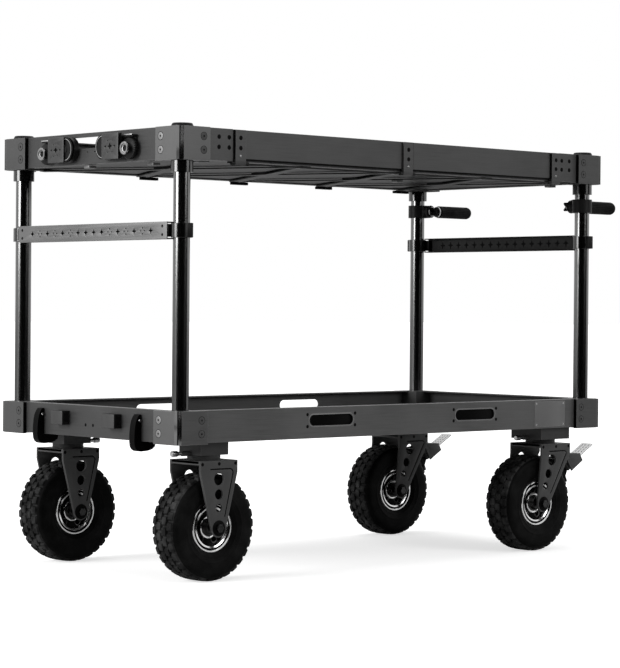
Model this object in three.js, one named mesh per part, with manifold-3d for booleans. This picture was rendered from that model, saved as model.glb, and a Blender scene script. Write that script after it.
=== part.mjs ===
import * as THREE from "three";
import { mergeVertices } from "three/addons/utils/BufferGeometryUtils.js";
import Module from "manifold-3d";

// A four-wheeled camera cart with two open tray decks on four tubular posts.
// Lengths are in millimetres. X runs along the cart, with its front end at negative X, Y runs across it,
// with the folding side ledge at negative Y, and Z is the height above the ground.

// Clearances
const clearance = 0.3;
const runningClearance = 0.5;
const cutOverrun = 4;

// Decks, each a tray of four channel rails, four corner brackets and a pan
const deckLength = 1472;
const deckWidth = 712;
const deckPitch = 663;
const railHeight = 76;
const railInset = 10;
const railWall = 3;
const railLip = 28;
const panWall = 2.5;

// Corner brackets and posts
const bracketLeg = 91;
const bracketDrop = 3;
const bracketChamfer = 9;
const bracketFloor = 4;
const cornerBlock = 72;
const postDiameter = 40;
const postWall = 3;
const postInset = 36;
const capDiameter = 52;
const capHeight = 8;
const capBevel = 2.5;
const collarHeight = 27;
const collarWall = 6;

// Bracing straps under the upper deck
const braceBays = 4;
const bracePitch = 320;
const braceStrapWidth = 30;
const braceStrapWall = 3;
const bracePadSize = 60;
const braceEndInset = 8;

// Grip slots and small holes in the rails
const slotLength = 146;
const slotHeight = 27;
const slotSpacing = 506;
const slotShift = 8;
const lowerSlotDepth = 32;
const frontSlotLength = 160;
const frontSlotDepth = 24;
const tieHoleDiameter = 6;
const tieHoleSpacing = 30;
const tieHoleDepth = 47;

// Folding ledge on the left side of the upper deck
const frontPlateLength = 81;
const rearPlateLength = 71;
const ledgeWall = 6;
const ledgeTopGap = 1;
const ledgeGap = 4;
const strapCount = 3;
const strapWidth = 32;
const strapWall = 6;
const hingeKnuckleDiameter = 9;
const hingePinDiameter = 4;
const hingeLugWidth = 10;

// Cross bars between the posts at both ends
const barDrop = 161;
const barHeight = 41;
const barDepth = 22;
const barWall = 3;
const barReach = 29;
const barClampHeight = 34;
const barClampWall = 5;
const barLugLength = 25;
const barHoleCount = 16;
const barHoleInset = 60;
const middleStarHoles = 4;
const starPoints = 4;
const starHoleRadius = 9;
const starWaistRadius = 3.6;
const plusHoleRadius = 2;
const plusHoleOffset = 7;

// Push handles on the rear posts
const handleDrop = 62;
const handleClampHeight = 36;
const handleClampWall = 7;
const handleHubForward = 8;
const handleHubDiameter = 36;
const handleHubWidth = 16;
const handleFlangeWidth = 5;
const handleBoltDiameter = 9;
const handleBoltHead = 18;
const handleBoltHeadWidth = 4;
const handleNeckDiameter = 20;
const handleGripStart = 34;
const handleGripLength = 142;
const handleGripDiameter = 35;

// Accessory brackets with clamp knobs on the upper front rail
const accessorySpacing = 220;
const accessoryDepth = 39;
const accessoryPlateWidth = 65;
const accessoryPlateHeight = 62;
const accessoryPlateWall = 4;
const accessoryReach = 20;
const accessoryBlockWidth = 44;
const accessoryBlockHeight = 44;
const rosetteDiameter = 62;
const rosetteOffset = 33;
const rosetteSetback = 4;
const knobOffset = 58;
const knobDrop = 7;
const knobWheelDiameter = 54;
const knobWheelWidth = 11;
const knobHubDiameter = 26;
const knobHubLength = 10;
const knobRingDiameter = 31;
const knobRingWidth = 4;
const knobRingBore = 15;
const knobStudDiameter = 8;
const accessoryArmWall = 4;
const leverWall = 5;
const leverWidth = 32;
const leverReach = 15;

// Blocks and cable hooks on the lower front rail
const blockHookGap = 55;
const blockWidth = 48;
const blockHeight = 34;
const blockReach = 22;
const blockDepth = 32;
const blockRecess = 3;
const blockRim = 6;
const hookInset = 68;
const hookWidth = 20;
const hookTopDepth = 20;
const hookBulge = 21;
const hookDrop = 24;
const hookUnderReach = 43;
const hookPinDiameter = 12;
const hookPinLength = 3;

// Casters
const casterInsetX = 145.5;
const casterInsetY = 82;
const rearTrail = 48;
const wheelDiameter = 258;
const tyreWidth = 88;
const forkTyreGap = 24;
const forkLength = 114;
const forkWidth = 117;
const forkWall = 6;
const forkTopWall = 7;
const forkFootRadius = 22;
const forkShoulder = 28;
const forkHoleDiameters = [31, 25, 20];
const raceHeight = 12;
const raceDiameter = 80;
const mountHeight = 32;
const frontMountLength = 84;
const frontMountWidth = 82;
const rearMountLength = 112;
const rearMountWidth = 110;
const kingpinDiameter = 40;
const kingpinHeight = 24;
const axleDiameter = 12;
const axleNutDiameter = 22;
const axleNutWidth = 8;

// Swivel locks in the caster mounts, to the front on the left side and to the rear on the right side
const lockHeight = 4;
const lockPinDiameter = 7;
const lockTravel = 6;
const lockBossDiameter = 13;
const lockBossReach = 68;
const lockKnobDiameter = 14;
const lockKnobLength = 24;

// Wheel rims and tyres
const rimFlangeDiameter = 119;
const rimWidth = 68;
const rimFlangeWall = 4;
const rimBedDiameter = 100;
const rimBedWall = 4;
const rimWebWall = 5;
const rimWebOffset = 10;
const rimHoleCount = 5;
const rimHoleDiameter = 15;
const hubDiameter = 42;
const hubLength = 88;
const tyreWall = 9;
const lugHeight = 5;
const lugCount = 20;

// Parking brakes on the rear casters
const brakePivotReach = 88;
const brakePivotDrop = 48;
const brakePinDiameter = 8;
const brakeBridgeInset = 13;
const brakeBridgeLength = 11;
const brakeBridgeHeight = 20;
const brakeEarWall = 5;
const brakeEarRadius = 10;
const brakeBlockLength = 52;
const brakeBlockHeight = 47;
const brakeBlockWidth = 60;
const brakeBlockTilt = 31;
const brakeBlockLead = 9;
const brakeBlockRise = 16;
const brakeShoeHeight = 36;
const brakeShoeWidth = 38;
const brakeShoeGap = 8;
const brakeShoeTurn = 28;
const pedalLength = 75;
const pedalWall = 4;
const pedalWidth = 40;
const pedalTilt = 30;
const pedalReach = 111;
const pedalDrop = 20;

// Facets
const roundSegments = 16;
const smallSegments = 8;
const holeSegments = 6;
const rimSegments = 16;
const segmentsPerLug = 2;

const wasm = await Module();
wasm.setup();

const axes = {
  x: new THREE.Vector3(1, 0, 0),
  y: new THREE.Vector3(0, 1, 0),
  z: new THREE.Vector3(0, 0, 1),
};

// Each frame takes a drawing's two directions and its depth to the part's directions.
const frames = {
  x: new THREE.Matrix4().makeBasis(axes.y, axes.z, axes.x),
  y: new THREE.Matrix4().makeBasis(axes.x, axes.z, axes.y.clone().negate()),
  z: new THREE.Matrix4(),
};

function solidOf(geometry) {
  geometry.deleteAttribute("normal");
  geometry.deleteAttribute("uv");
  const merged = mergeVertices(geometry);
  return new wasm.Manifold(
    new wasm.Mesh({
      numProp: 3,
      vertProperties: merged.attributes.position.array,
      triVerts: new Uint32Array(merged.index.array),
    }),
  );
}

function geometryOf(solid) {
  const mesh = solid.getMesh();
  const geometry = new THREE.BufferGeometry();
  geometry.setAttribute("position", new THREE.BufferAttribute(mesh.vertProperties, 3));
  geometry.setIndex(new THREE.BufferAttribute(mesh.triVerts, 1));
  const flat = geometry.toNonIndexed();
  flat.computeVertexNormals();
  return flat;
}

function join(...solids) {
  return solids.reduce((whole, solid) => whole.add(solid));
}

function cut(solid, ...tools) {
  return tools.reduce((whole, tool) => whole.subtract(tool), solid);
}

// A box between two values along each direction, given in either order.
function boxBetween(x, y, z) {
  const low = [x, y, z].map((span) => Math.min(...span));
  const high = [x, y, z].map((span) => Math.max(...span));
  const size = high.map((value, i) => value - low[i]);
  const geometry = new THREE.BoxGeometry(...size);
  geometry.translate(...low.map((value, i) => value + size[i] / 2));
  return solidOf(geometry);
}

// A round bar along one direction, from one value to another, about a centre line.
function rod(axis, diameter, from, to, centre, segments = roundSegments) {
  const geometry = new THREE.CylinderGeometry(diameter / 2, diameter / 2, Math.abs(to - from), segments);
  if (axis === "x") {
    geometry.rotateZ(Math.PI / 2);
  }
  if (axis === "z") {
    geometry.rotateX(Math.PI / 2);
  }
  const middle = (from + to) / 2;
  const places = { x: [middle, ...centre], y: [centre[0], middle, centre[1]], z: [...centre, middle] };
  geometry.translate(...places[axis]);
  return solidOf(geometry);
}

// A flat drawing made into a slab, with its middle plane at the given place.
function slab(shape, axis, thickness, middle = 0, curveSegments = smallSegments / 2) {
  const geometry = new THREE.ExtrudeGeometry(shape, {
    depth: thickness,
    bevelEnabled: false,
    curveSegments,
  });
  geometry.translate(0, 0, -thickness / 2);
  geometry.applyMatrix4(frames[axis]);
  geometry.translate(...axes[axis].clone().multiplyScalar(middle).toArray());
  return solidOf(geometry);
}

// A turned solid about an axis parallel to X, Y or Z, from pairs of radius and distance along the axis.
function turned(axis, profile, at, segments = roundSegments) {
  const points = profile.map(([radius, along]) => new THREE.Vector2(radius, along));
  const geometry = new THREE.LatheGeometry(points, segments);
  if (axis === "x") {
    geometry.rotateZ(-Math.PI / 2);
  }
  if (axis === "z") {
    geometry.rotateX(Math.PI / 2);
  }
  geometry.translate(...at);
  return solidOf(geometry);
}

// The diameter of a faceted bore whose flats stay a gap away from the round piece that turns in it.
function boreFor(diameter, gap, segments) {
  return (diameter + 2 * gap) / Math.cos(Math.PI / segments);
}

function polygon(points) {
  return new THREE.Shape(points.map(([u, v]) => new THREE.Vector2(u, v)));
}

// A slot with round ends, its long side along the drawing's first direction.
function stadium(length, height, u, v) {
  const radius = height / 2;
  const reach = length / 2 - radius;
  const shape = new THREE.Shape();
  shape.absarc(u + reach, v, radius, -Math.PI / 2, Math.PI / 2, false);
  shape.absarc(u - reach, v, radius, Math.PI / 2, (3 * Math.PI) / 2, false);
  return shape;
}

const cart = new THREE.Group();

const finishes = {
  satinBlack: { color: 0x2a2b2d, roughness: 0.5, metalness: 0.6 },
  glossBlack: { color: 0x0b0b0c, roughness: 0.18, metalness: 0.3 },
  mattBlack: { color: 0x141415, roughness: 0.7, metalness: 0.1 },
  rubber: { color: 0x121212, roughness: 0.85, metalness: 0 },
  chrome: { color: 0xc9cbce, roughness: 0.15, metalness: 1 },
  steel: { color: 0xa9abad, roughness: 0.35, metalness: 0.9 },
};

function addPiece(name, solid, finish) {
  const mesh = new THREE.Mesh(geometryOf(solid), new THREE.MeshStandardMaterial(finishes[finish]));
  mesh.name = name;
  cart.add(mesh);
}

// Heights, from the ground up
const axleHeight = wheelDiameter / 2;
const forkRise = axleHeight + forkTyreGap + forkTopWall;
const forkTop = axleHeight + forkRise;
const mountBottom = forkTop + raceHeight;
const lowerBottom = mountBottom + mountHeight;
const lowerTop = lowerBottom + railHeight;
const upperTop = lowerTop + deckPitch;
const upperBottom = upperTop - railHeight;

const halfLength = deckLength / 2;
const halfWidth = deckWidth / 2;
const postX = halfLength - postInset;
const postY = halfWidth - postInset;
const railFaceX = halfLength - railInset;
const railFaceY = halfWidth - railInset;
const sides = [
  { name: "left", y: -1 },
  { name: "right", y: 1 },
];
const ends = [
  { name: "front", x: -1 },
  { name: "rear", x: 1 },
];

// A channel rail with its web outside and its two lips turned in, along a side of the deck.
function sideRail(sign, topZ, faceInset = 0) {
  const reach = halfLength - cornerBlock - clearance;
  const face = sign * (railFaceY - faceInset);
  const back = face - sign * railLip;
  const bottomZ = topZ - railHeight;
  const bar = boxBetween([-reach, reach], [face, back], [bottomZ, topZ]);
  const hollowLength = reach + cutOverrun;
  const hollow = boxBetween(
    [-hollowLength, hollowLength],
    [face - sign * railWall, back - sign * cutOverrun],
    [bottomZ + railWall, topZ - railWall],
  );
  return cut(bar, hollow);
}

function endRail(sign, topZ) {
  const reach = halfWidth - cornerBlock - clearance;
  const face = sign * railFaceX;
  const back = face - sign * railLip;
  const bottomZ = topZ - railHeight;
  const bar = boxBetween([face, back], [-reach, reach], [bottomZ, topZ]);
  const hollowLength = reach + cutOverrun;
  const hollow = boxBetween(
    [face - sign * railWall, back - sign * cutOverrun],
    [-hollowLength, hollowLength],
    [bottomZ + railWall, topZ - railWall],
  );
  return cut(bar, hollow);
}

// Cuts made through a side rail's web at its two grip slots.
function sideSlots(sign, topZ) {
  const depth = 2 * (railInset + railWall + cutOverrun);
  return [-1, 1].map((end) =>
    slab(
      stadium(slotLength, slotHeight, slotShift + (end * slotSpacing) / 2, topZ - lowerSlotDepth),
      "y",
      depth,
      sign * railFaceY,
    ),
  );
}

function tieHoles(topZ) {
  return [-1, 1].map((side) =>
    rod(
      "x",
      tieHoleDiameter,
      -railFaceX - cutOverrun,
      -railFaceX + railWall + cutOverrun,
      [(side * tieHoleSpacing) / 2, topZ - tieHoleDepth],
      smallSegments / 2,
    ),
  );
}

// The folding ledge fills the left side between two fixed plates, one at each bracket.
const ledgeLength = deckLength - 2 * bracketLeg - frontPlateLength - rearPlateLength;
const ledgeShift = (frontPlateLength - rearPlateLength) / 2;

// The upper left rail is set back behind the folding ledge, with full depth at both ends.
function ledgeRail() {
  const setBack = ledgeWall + clearance;
  const reach = halfLength - cornerBlock - clearance;
  const ledgeReach = ledgeLength / 2 + ledgeGap;
  const face = -railFaceY;
  const back = face + setBack + railWall;
  const ledgeEnds = [-1, 1].map((end) =>
    boxBetween([ledgeShift + end * ledgeReach, end * reach], [face, back], [upperBottom, upperTop]),
  );
  return join(sideRail(-1, upperTop, setBack), ...ledgeEnds);
}

function frontUpperRail() {
  const slot = slab(
    stadium(frontSlotLength, slotHeight, 0, upperTop - frontSlotDepth),
    "x",
    2 * (railWall + cutOverrun),
    -railFaceX,
  );
  return cut(endRail(-1, upperTop), slot, ...tieHoles(upperTop));
}

addPiece("upper_front_rail", frontUpperRail(), "satinBlack");
addPiece("upper_rear_rail", endRail(1, upperTop), "satinBlack");
addPiece("upper_left_rail", ledgeRail(), "satinBlack");
addPiece("upper_right_rail", sideRail(1, upperTop), "satinBlack");
addPiece("lower_front_rail", cut(endRail(-1, lowerTop), ...tieHoles(lowerTop)), "satinBlack");
addPiece("lower_rear_rail", endRail(1, lowerTop), "satinBlack");
for (const side of sides) {
  const rail = cut(sideRail(side.y, lowerTop), ...sideSlots(side.y, lowerTop));
  addPiece(`lower_${side.name}_rail`, rail, "satinBlack");
}

// A pan lies on the rails' lower lips and stops short of the corner blocks.
function deckPan(topZ, leftSetBack) {
  const margin = railInset + railWall + clearance;
  const corner = cornerBlock + clearance;
  const x = halfLength - margin;
  const y = halfWidth - margin;
  const bottom = topZ - railHeight + railWall + clearance;
  const sheet = boxBetween([-x, x], [-y + leftSetBack, y], [bottom, bottom + panWall]);
  const corners = [-1, 1].flatMap((sx) =>
    [-1, 1].map((sy) =>
      boxBetween(
        [sx * (halfLength - corner), sx * (halfLength + cutOverrun)],
        [sy * (halfWidth - corner), sy * (halfWidth + cutOverrun)],
        [bottom - cutOverrun, bottom + panWall + cutOverrun],
      ),
    ),
  );
  return cut(sheet, ...corners);
}

// Crossed straps under the rails, joined to the pan by a pad at each crossing.
function deckBracing() {
  const strapTop = upperBottom - clearance;
  const strapBottom = strapTop - braceStrapWall;
  const panBottom = upperBottom + railWall + clearance;
  const y = railFaceY - railLip / 2 - braceEndInset;
  const straps = [];
  for (let bay = 0; bay < braceBays; bay += 1) {
    const startX = (bay - braceBays / 2) * bracePitch;
    const middleX = startX + bracePitch / 2;
    for (const slope of [-1, 1]) {
      const angle = Math.atan2(2 * y * slope, bracePitch);
      const half = Math.hypot(bracePitch, 2 * y) / 2;
      const strap = new THREE.BoxGeometry(2 * half, braceStrapWidth, braceStrapWall);
      strap.rotateZ(angle);
      strap.translate(middleX, 0, (strapTop + strapBottom) / 2);
      straps.push(solidOf(strap));
    }
    const padHalf = bracePadSize / 2;
    const pad = boxBetween(
      [middleX - padHalf, middleX + padHalf],
      [-padHalf, padHalf],
      [strapBottom, panBottom + panWall],
    );
    straps.push(pad);
  }
  return straps;
}

addPiece("upper_pan", join(deckPan(upperTop, ledgeWall + clearance), ...deckBracing()), "satinBlack");
addPiece("lower_pan", deckPan(lowerTop, 0), "satinBlack");

// A corner bracket is a block round the post, with two legs lapping the rail ends.
function cornerBracket(sx, sy, topZ) {
  const lap = railInset - clearance;
  const outline = [
    [bracketChamfer, 0],
    [bracketLeg, 0],
    [bracketLeg, lap],
    [cornerBlock, lap],
    [cornerBlock, cornerBlock],
    [lap, cornerBlock],
    [lap, bracketLeg],
    [0, bracketLeg],
    [0, bracketChamfer],
  ].map(([inX, inY]) => [sx * (halfLength - inX), sy * (halfWidth - inY)]);
  const height = railHeight + bracketDrop;
  return slab(polygon(outline), "z", height, topZ - height / 2);
}

for (const end of ends) {
  for (const side of sides) {
    const place = [end.x * postX, side.y * postY];
    const corner = `${end.name}_${side.name}`;
    const bore = postDiameter + 2 * clearance;

    const upperFoot = upperBottom - bracketDrop;
    const collarBottom = upperFoot - collarHeight;
    const collar = rod("z", postDiameter + 2 * collarWall, collarBottom, upperFoot + cutOverrun, place);
    const through = rod("z", bore, collarBottom - cutOverrun, upperTop + cutOverrun, place);
    const upper = cut(join(cornerBracket(end.x, side.y, upperTop), collar), through);
    addPiece(`upper_bracket_${corner}`, upper, "satinBlack");

    const seat = lowerBottom - bracketDrop + bracketFloor;
    const blind = rod("z", bore, seat, lowerTop + cutOverrun, place);
    addPiece(`lower_bracket_${corner}`, cut(cornerBracket(end.x, side.y, lowerTop), blind), "satinBlack");

    const radius = postDiameter / 2;
    const capRadius = capDiameter / 2;
    const foot = seat + clearance;
    const capBottom = upperTop + clearance;
    const capTop = upperTop + capHeight;
    const profile = [
      [0, capBottom],
      [radius - postWall, capBottom],
      [radius - postWall, foot],
      [radius, foot],
      [radius, capBottom],
      [capRadius, capBottom],
      [capRadius, capTop - capBevel],
      [capRadius - capBevel, capTop],
      [0, capTop],
    ];
    addPiece(`post_${corner}`, turned("z", profile, [...place, 0]), "glossBlack");
  }
}

// The folding ledge hangs on three straps whose knuckles turn on a long pin below the rail.
const hingeY = -(railFaceY + strapWall - hingeKnuckleDiameter / 2);
const hingeZ = upperBottom - clearance - hingeKnuckleDiameter / 2;
const strapSpacing = (ledgeLength - strapWidth) / (strapCount - 1);
const strapPlaces = Array.from(
  { length: strapCount },
  (_, i) => ledgeShift + (i - (strapCount - 1) / 2) * strapSpacing,
);
const hingeReach = ledgeLength / 2 + clearance + hingeLugWidth;

// A round bar along the hinge's line, between two places.
function hingeRod(diameter, from, to) {
  return rod("x", diameter, from, to, [hingeY, hingeZ], smallSegments);
}

function foldingLedge() {
  const face = -railFaceY;
  const top = upperTop - ledgeTopGap;
  const bottom = upperBottom + ledgeGap;
  const half = strapWidth / 2;
  const panel = boxBetween(
    [ledgeShift - ledgeLength / 2, ledgeShift + ledgeLength / 2],
    [face, face + ledgeWall],
    [bottom, top],
  );
  const straps = strapPlaces.flatMap((x) => [
    boxBetween([x - half, x + half], [face - strapWall, face], [bottom, top]),
    boxBetween([x - half, x + half], [face - strapWall, face - clearance], [hingeZ, bottom + clearance]),
    hingeRod(hingeKnuckleDiameter, x - half, x + half),
  ]);
  const reach = hingeReach + cutOverrun;
  const boreDiameter = boreFor(hingePinDiameter, clearance, smallSegments);
  const bore = hingeRod(boreDiameter, ledgeShift - reach, ledgeShift + reach);
  return cut(join(panel, ...straps), bore);
}

function ledgeHinge() {
  const seat = upperBottom - clearance;
  const lugs = strapPlaces.flatMap((x) =>
    [-1, 1].flatMap((end) => {
      const inner = x + end * (strapWidth / 2 + clearance);
      const outer = inner + end * hingeLugWidth;
      return [
        hingeRod(hingeKnuckleDiameter, inner, outer),
        boxBetween([inner, outer], [hingeY, hingeY + railLip / 2], [seat - hingePinDiameter, seat]),
      ];
    }),
  );
  return join(hingeRod(hingePinDiameter, ledgeShift - hingeReach, ledgeShift + hingeReach), ...lugs);
}

addPiece("folding_ledge", foldingLedge(), "satinBlack");
addPiece("ledge_hinge", ledgeHinge(), "mattBlack");

// The cross bars' height, and the pitch of the holes along them.
const barCentreHeight = upperBottom - barDrop;
const barHolePitch = (2 * postY - postDiameter - 2 * barHoleInset) / (barHoleCount - 1);

function starHole(y) {
  const points = Array.from({ length: 2 * starPoints }, (_, i) => {
    const radius = i % 2 === 0 ? starHoleRadius : starWaistRadius;
    const angle = (i * Math.PI) / starPoints;
    return [y + radius * Math.cos(angle), barCentreHeight + radius * Math.sin(angle)];
  });
  return polygon(points);
}

function plusHoles(y) {
  return Array.from({ length: starPoints }, (_, i) => {
    const angle = (2 * Math.PI * i) / starPoints;
    const u = y + plusHoleOffset * Math.cos(angle);
    const v = barCentreHeight + plusHoleOffset * Math.sin(angle);
    const shape = new THREE.Shape();
    shape.absarc(u, v, plusHoleRadius, 0, 2 * Math.PI, false);
    return shape;
  });
}

// Star holes and groups of small holes take turns along the bar, with star holes alone at its middle.
function isPlusHole(index) {
  const fromEnd = Math.min(index, barHoleCount - 1 - index);
  return fromEnd % 2 === 1 && fromEnd < (barHoleCount - middleStarHoles) / 2;
}

function crossBar(sign) {
  const face = sign * (postX + barReach);
  const back = face - sign * barDepth;
  const reach = postY - postDiameter / 2 - clearance;
  const low = barCentreHeight - barHeight / 2;
  const high = barCentreHeight + barHeight / 2;
  const bar = boxBetween([face, back], [-reach, reach], [low, high]);
  const hollow = boxBetween(
    [face - sign * barWall, back - sign * cutOverrun],
    [-reach + barLugLength, reach - barLugLength],
    [low + barWall, high - barWall],
  );
  const rings = [];
  const bores = [];
  for (const side of [-1, 1]) {
    const centre = [sign * postX, side * postY];
    const clampLow = barCentreHeight - barClampHeight / 2;
    const clampHigh = barCentreHeight + barClampHeight / 2;
    rings.push(rod("z", postDiameter + 2 * barClampWall, clampLow, clampHigh, centre));
    const lug = boxBetween(
      [face - sign * barWall, back],
      [side * (reach - barLugLength), side * (reach + barClampWall)],
      [clampLow, clampHigh],
    );
    rings.push(lug);
    bores.push(rod("z", postDiameter + 2 * clearance, low - cutOverrun, high + cutOverrun, centre));
  }
  const holes = [];
  for (let index = 0; index < barHoleCount; index += 1) {
    const y = (index - (barHoleCount - 1) / 2) * barHolePitch;
    const shapes = isPlusHole(index) ? plusHoles(y) : [starHole(y)];
    for (const shape of shapes) {
      holes.push(slab(shape, "x", 2 * (barWall + cutOverrun), face, holeSegments / 2));
    }
  }
  return cut(join(cut(bar, hollow), ...rings), ...bores, ...holes);
}

for (const end of ends) {
  addPiece(`${end.name}_cross_bar`, crossBar(end.x), "satinBlack");
}

// A push handle's hub stands beside its post on the inner side, and its grip points to the rear.
const handleX = postX + handleHubForward;
const handleCentreHeight = upperBottom - handleDrop;
const handleFlangeOuter = postY - postDiameter / 2 - handleClampWall;

for (const side of sides) {
  const flangeInner = handleFlangeOuter - handleFlangeWidth;
  const hubOuter = flangeInner - clearance;
  const hubInner = hubOuter - handleHubWidth;
  const headOuter = hubInner - clearance;
  const headInner = headOuter - handleBoltHeadWidth;
  const axle = [handleX, handleCentreHeight];
  const y = side.y;

  const low = handleCentreHeight - handleClampHeight / 2;
  const high = handleCentreHeight + handleClampHeight / 2;
  const post = [postX, y * postY];
  const ring = rod("z", postDiameter + 2 * handleClampWall, low, high, post);
  const web = boxBetween(
    [postX - handleHubForward, postX + handleHubForward + handleHubDiameter / 3],
    [y * flangeInner, y * (postY - postDiameter / 2)],
    [low, high],
  );
  const flange = rod("y", handleHubDiameter, y * flangeInner, y * handleFlangeOuter, axle);
  const bolt = rod("y", handleBoltDiameter, y * headInner, y * handleFlangeOuter, axle, smallSegments);
  const head = rod("y", handleBoltHead, y * headInner, y * headOuter, axle, smallSegments / 2);
  const bore = rod("z", postDiameter + 2 * clearance, low - cutOverrun, high + cutOverrun, post);
  const clamp = join(cut(join(ring, web, flange), bore), bolt, head);
  addPiece(`handle_clamp_${side.name}`, clamp, "mattBlack");

  const middle = (hubOuter + hubInner) / 2;
  const hub = rod("y", handleHubDiameter, y * hubInner, y * hubOuter, axle);
  const boltBore = rod(
    "y",
    boreFor(handleBoltDiameter, clearance, smallSegments),
    y * (hubInner - cutOverrun),
    y * (hubOuter + cutOverrun),
    axle,
    smallSegments,
  );
  const neck = rod(
    "x",
    Math.min(handleNeckDiameter, handleHubWidth),
    handleX + handleHubDiameter / 4,
    handleX + handleGripStart + cutOverrun,
    [y * middle, handleCentreHeight],
    smallSegments,
  );
  const gripRadius = handleGripDiameter / 2;
  const gripProfile = [
    [0, 0],
    [gripRadius - gripRadius / 6, 0],
    [gripRadius, gripRadius / 6],
    [gripRadius, handleGripLength - gripRadius],
  ];
  const roundSteps = 4;
  for (let step = 1; step <= roundSteps; step += 1) {
    const angle = (step * Math.PI) / 2 / roundSteps;
    const radius = step === roundSteps ? 0 : gripRadius * Math.cos(angle);
    gripProfile.push([radius, handleGripLength - gripRadius + gripRadius * Math.sin(angle)]);
  }
  const gripAt = [handleX + handleGripStart, y * middle, handleCentreHeight];
  const grip = turned("x", gripProfile, gripAt);
  addPiece(`push_handle_${side.name}`, join(cut(join(hub, neck), boltBore), grip), "mattBlack");
}

// An accessory bracket carries a drilled plate, a round rosette on one side and a clamp knob on the other.
for (const side of sides) {
  const y = side.y;
  const seat = -railFaceX - clearance;
  const face = -railFaceX - accessoryReach;
  const centreY = (y * accessorySpacing) / 2;
  const centreZ = upperTop - accessoryDepth;
  const plateBack = face + accessoryPlateWall;
  const plateHalf = accessoryPlateWidth / 2;
  const plate = boxBetween(
    [face, plateBack],
    [centreY - plateHalf, centreY + plateHalf],
    [centreZ - accessoryPlateHeight / 2, centreZ + accessoryPlateHeight / 2],
  );
  const block = boxBetween(
    [plateBack - accessoryPlateWall / 2, seat],
    [centreY - accessoryBlockWidth / 2, centreY + accessoryBlockWidth / 2],
    [centreZ - accessoryBlockHeight / 2, centreZ + accessoryBlockHeight / 2],
  );
  const rosetteCentre = [centreY - y * rosetteOffset, centreZ];
  const rosette = rod("x", rosetteDiameter, face + rosetteSetback, seat, rosetteCentre);
  const knobY = centreY + y * knobOffset;
  const knobZ = centreZ - knobDrop;
  const wheelTop = knobZ + knobWheelDiameter / 2;
  const leverBottom = wheelTop + 2 * runningClearance;
  const arm = boxBetween(
    [seat - accessoryArmWall, seat],
    [centreY + (y * accessoryBlockWidth) / 4, knobY + (y * leverWidth) / 2],
    [centreZ - accessoryBlockHeight / 2, leverBottom + leverWall],
  );
  const lever = boxBetween(
    [seat - leverReach, seat],
    [knobY - (y * leverWidth) / 2, knobY + (y * leverWidth) / 2],
    [leverBottom, leverBottom + leverWall],
  );
  const wheelBack = seat - accessoryArmWall - runningClearance;
  const wheelFront = wheelBack - knobWheelWidth;
  const hubFront = wheelFront - knobHubLength;
  const ringFront = hubFront - knobRingWidth;
  const stud = rod("x", knobStudDiameter, hubFront, seat, [knobY, knobZ], smallSegments);
  const bracket = join(plate, block, rosette, arm, lever, stud);
  addPiece(`accessory_bracket_${side.name}`, bracket, "satinBlack");

  const boreRadius = knobStudDiameter / 2 + runningClearance;
  const wheelRadius = knobWheelDiameter / 2;
  const knobProfile = [
    [boreRadius, wheelBack],
    [wheelRadius, wheelBack],
    [wheelRadius, wheelFront],
    [knobHubDiameter / 2, wheelFront],
    [knobHubDiameter / 2, hubFront],
    [knobRingDiameter / 2, hubFront],
    [knobRingDiameter / 2, ringFront],
    [knobRingBore / 2, ringFront],
    [knobRingBore / 2, hubFront],
    [boreRadius, hubFront],
    [boreRadius, wheelBack],
  ];
  addPiece(`clamp_knob_${side.name}`, turned("x", knobProfile.reverse(), [0, knobY, knobZ]), "mattBlack");
}

// A cable hook follows the lower front corner of the rail and curls under it.
function cableHook(centreY) {
  const face = -railFaceX - clearance;
  const under = lowerBottom - clearance;
  const pinZ = lowerTop - hookTopDepth;
  const nose = hookPinDiameter / 2;
  const shape = new THREE.Shape();
  shape.moveTo(face, under);
  shape.lineTo(face, pinZ + nose);
  shape.quadraticCurveTo(face - nose, pinZ + 2 * nose, face - 2 * nose, pinZ);
  shape.quadraticCurveTo(face - hookBulge, pinZ - 2 * nose, face - hookBulge, under);
  shape.quadraticCurveTo(face - hookBulge, under - hookDrop, face, under - hookDrop);
  const tail = face + hookUnderReach;
  shape.quadraticCurveTo(tail, under - hookDrop, tail, under - hookDrop / 4);
  shape.lineTo(tail - nose, under);
  const body = slab(shape, "y", hookWidth, centreY, smallSegments / 2);
  const pin = rod(
    "y",
    hookPinDiameter / 2,
    centreY - hookWidth / 2 - hookPinLength,
    centreY + hookWidth / 2 + hookPinLength,
    [face - nose, pinZ - nose],
    smallSegments,
  );
  return join(body, pin);
}

// A rest block is a square pad with a shallow recess in its left side.
function restBlock(centreY) {
  const seat = -railFaceX - clearance;
  const face = -railFaceX - blockReach;
  const centreZ = lowerTop - blockDepth;
  const left = centreY - blockWidth / 2;
  const body = boxBetween(
    [face, seat],
    [left, centreY + blockWidth / 2],
    [centreZ - blockHeight / 2, centreZ + blockHeight / 2],
  );
  const recess = boxBetween(
    [face + blockRim, seat - blockRim / 2],
    [left - cutOverrun, left + blockRecess],
    [centreZ - blockHeight / 2 + blockRim, centreZ + blockHeight / 2 - blockRim],
  );
  return cut(body, recess);
}

for (const side of sides) {
  const hookY = halfWidth - bracketLeg - hookInset;
  const blockY = hookY - hookWidth / 2 - hookPinLength - blockHookGap - blockWidth / 2;
  addPiece(`cable_hook_${side.name}`, cableHook(side.y * hookY), "rubber");
  addPiece(`rest_block_${side.name}`, restBlock(side.y * blockY), "satinBlack");
}

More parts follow.
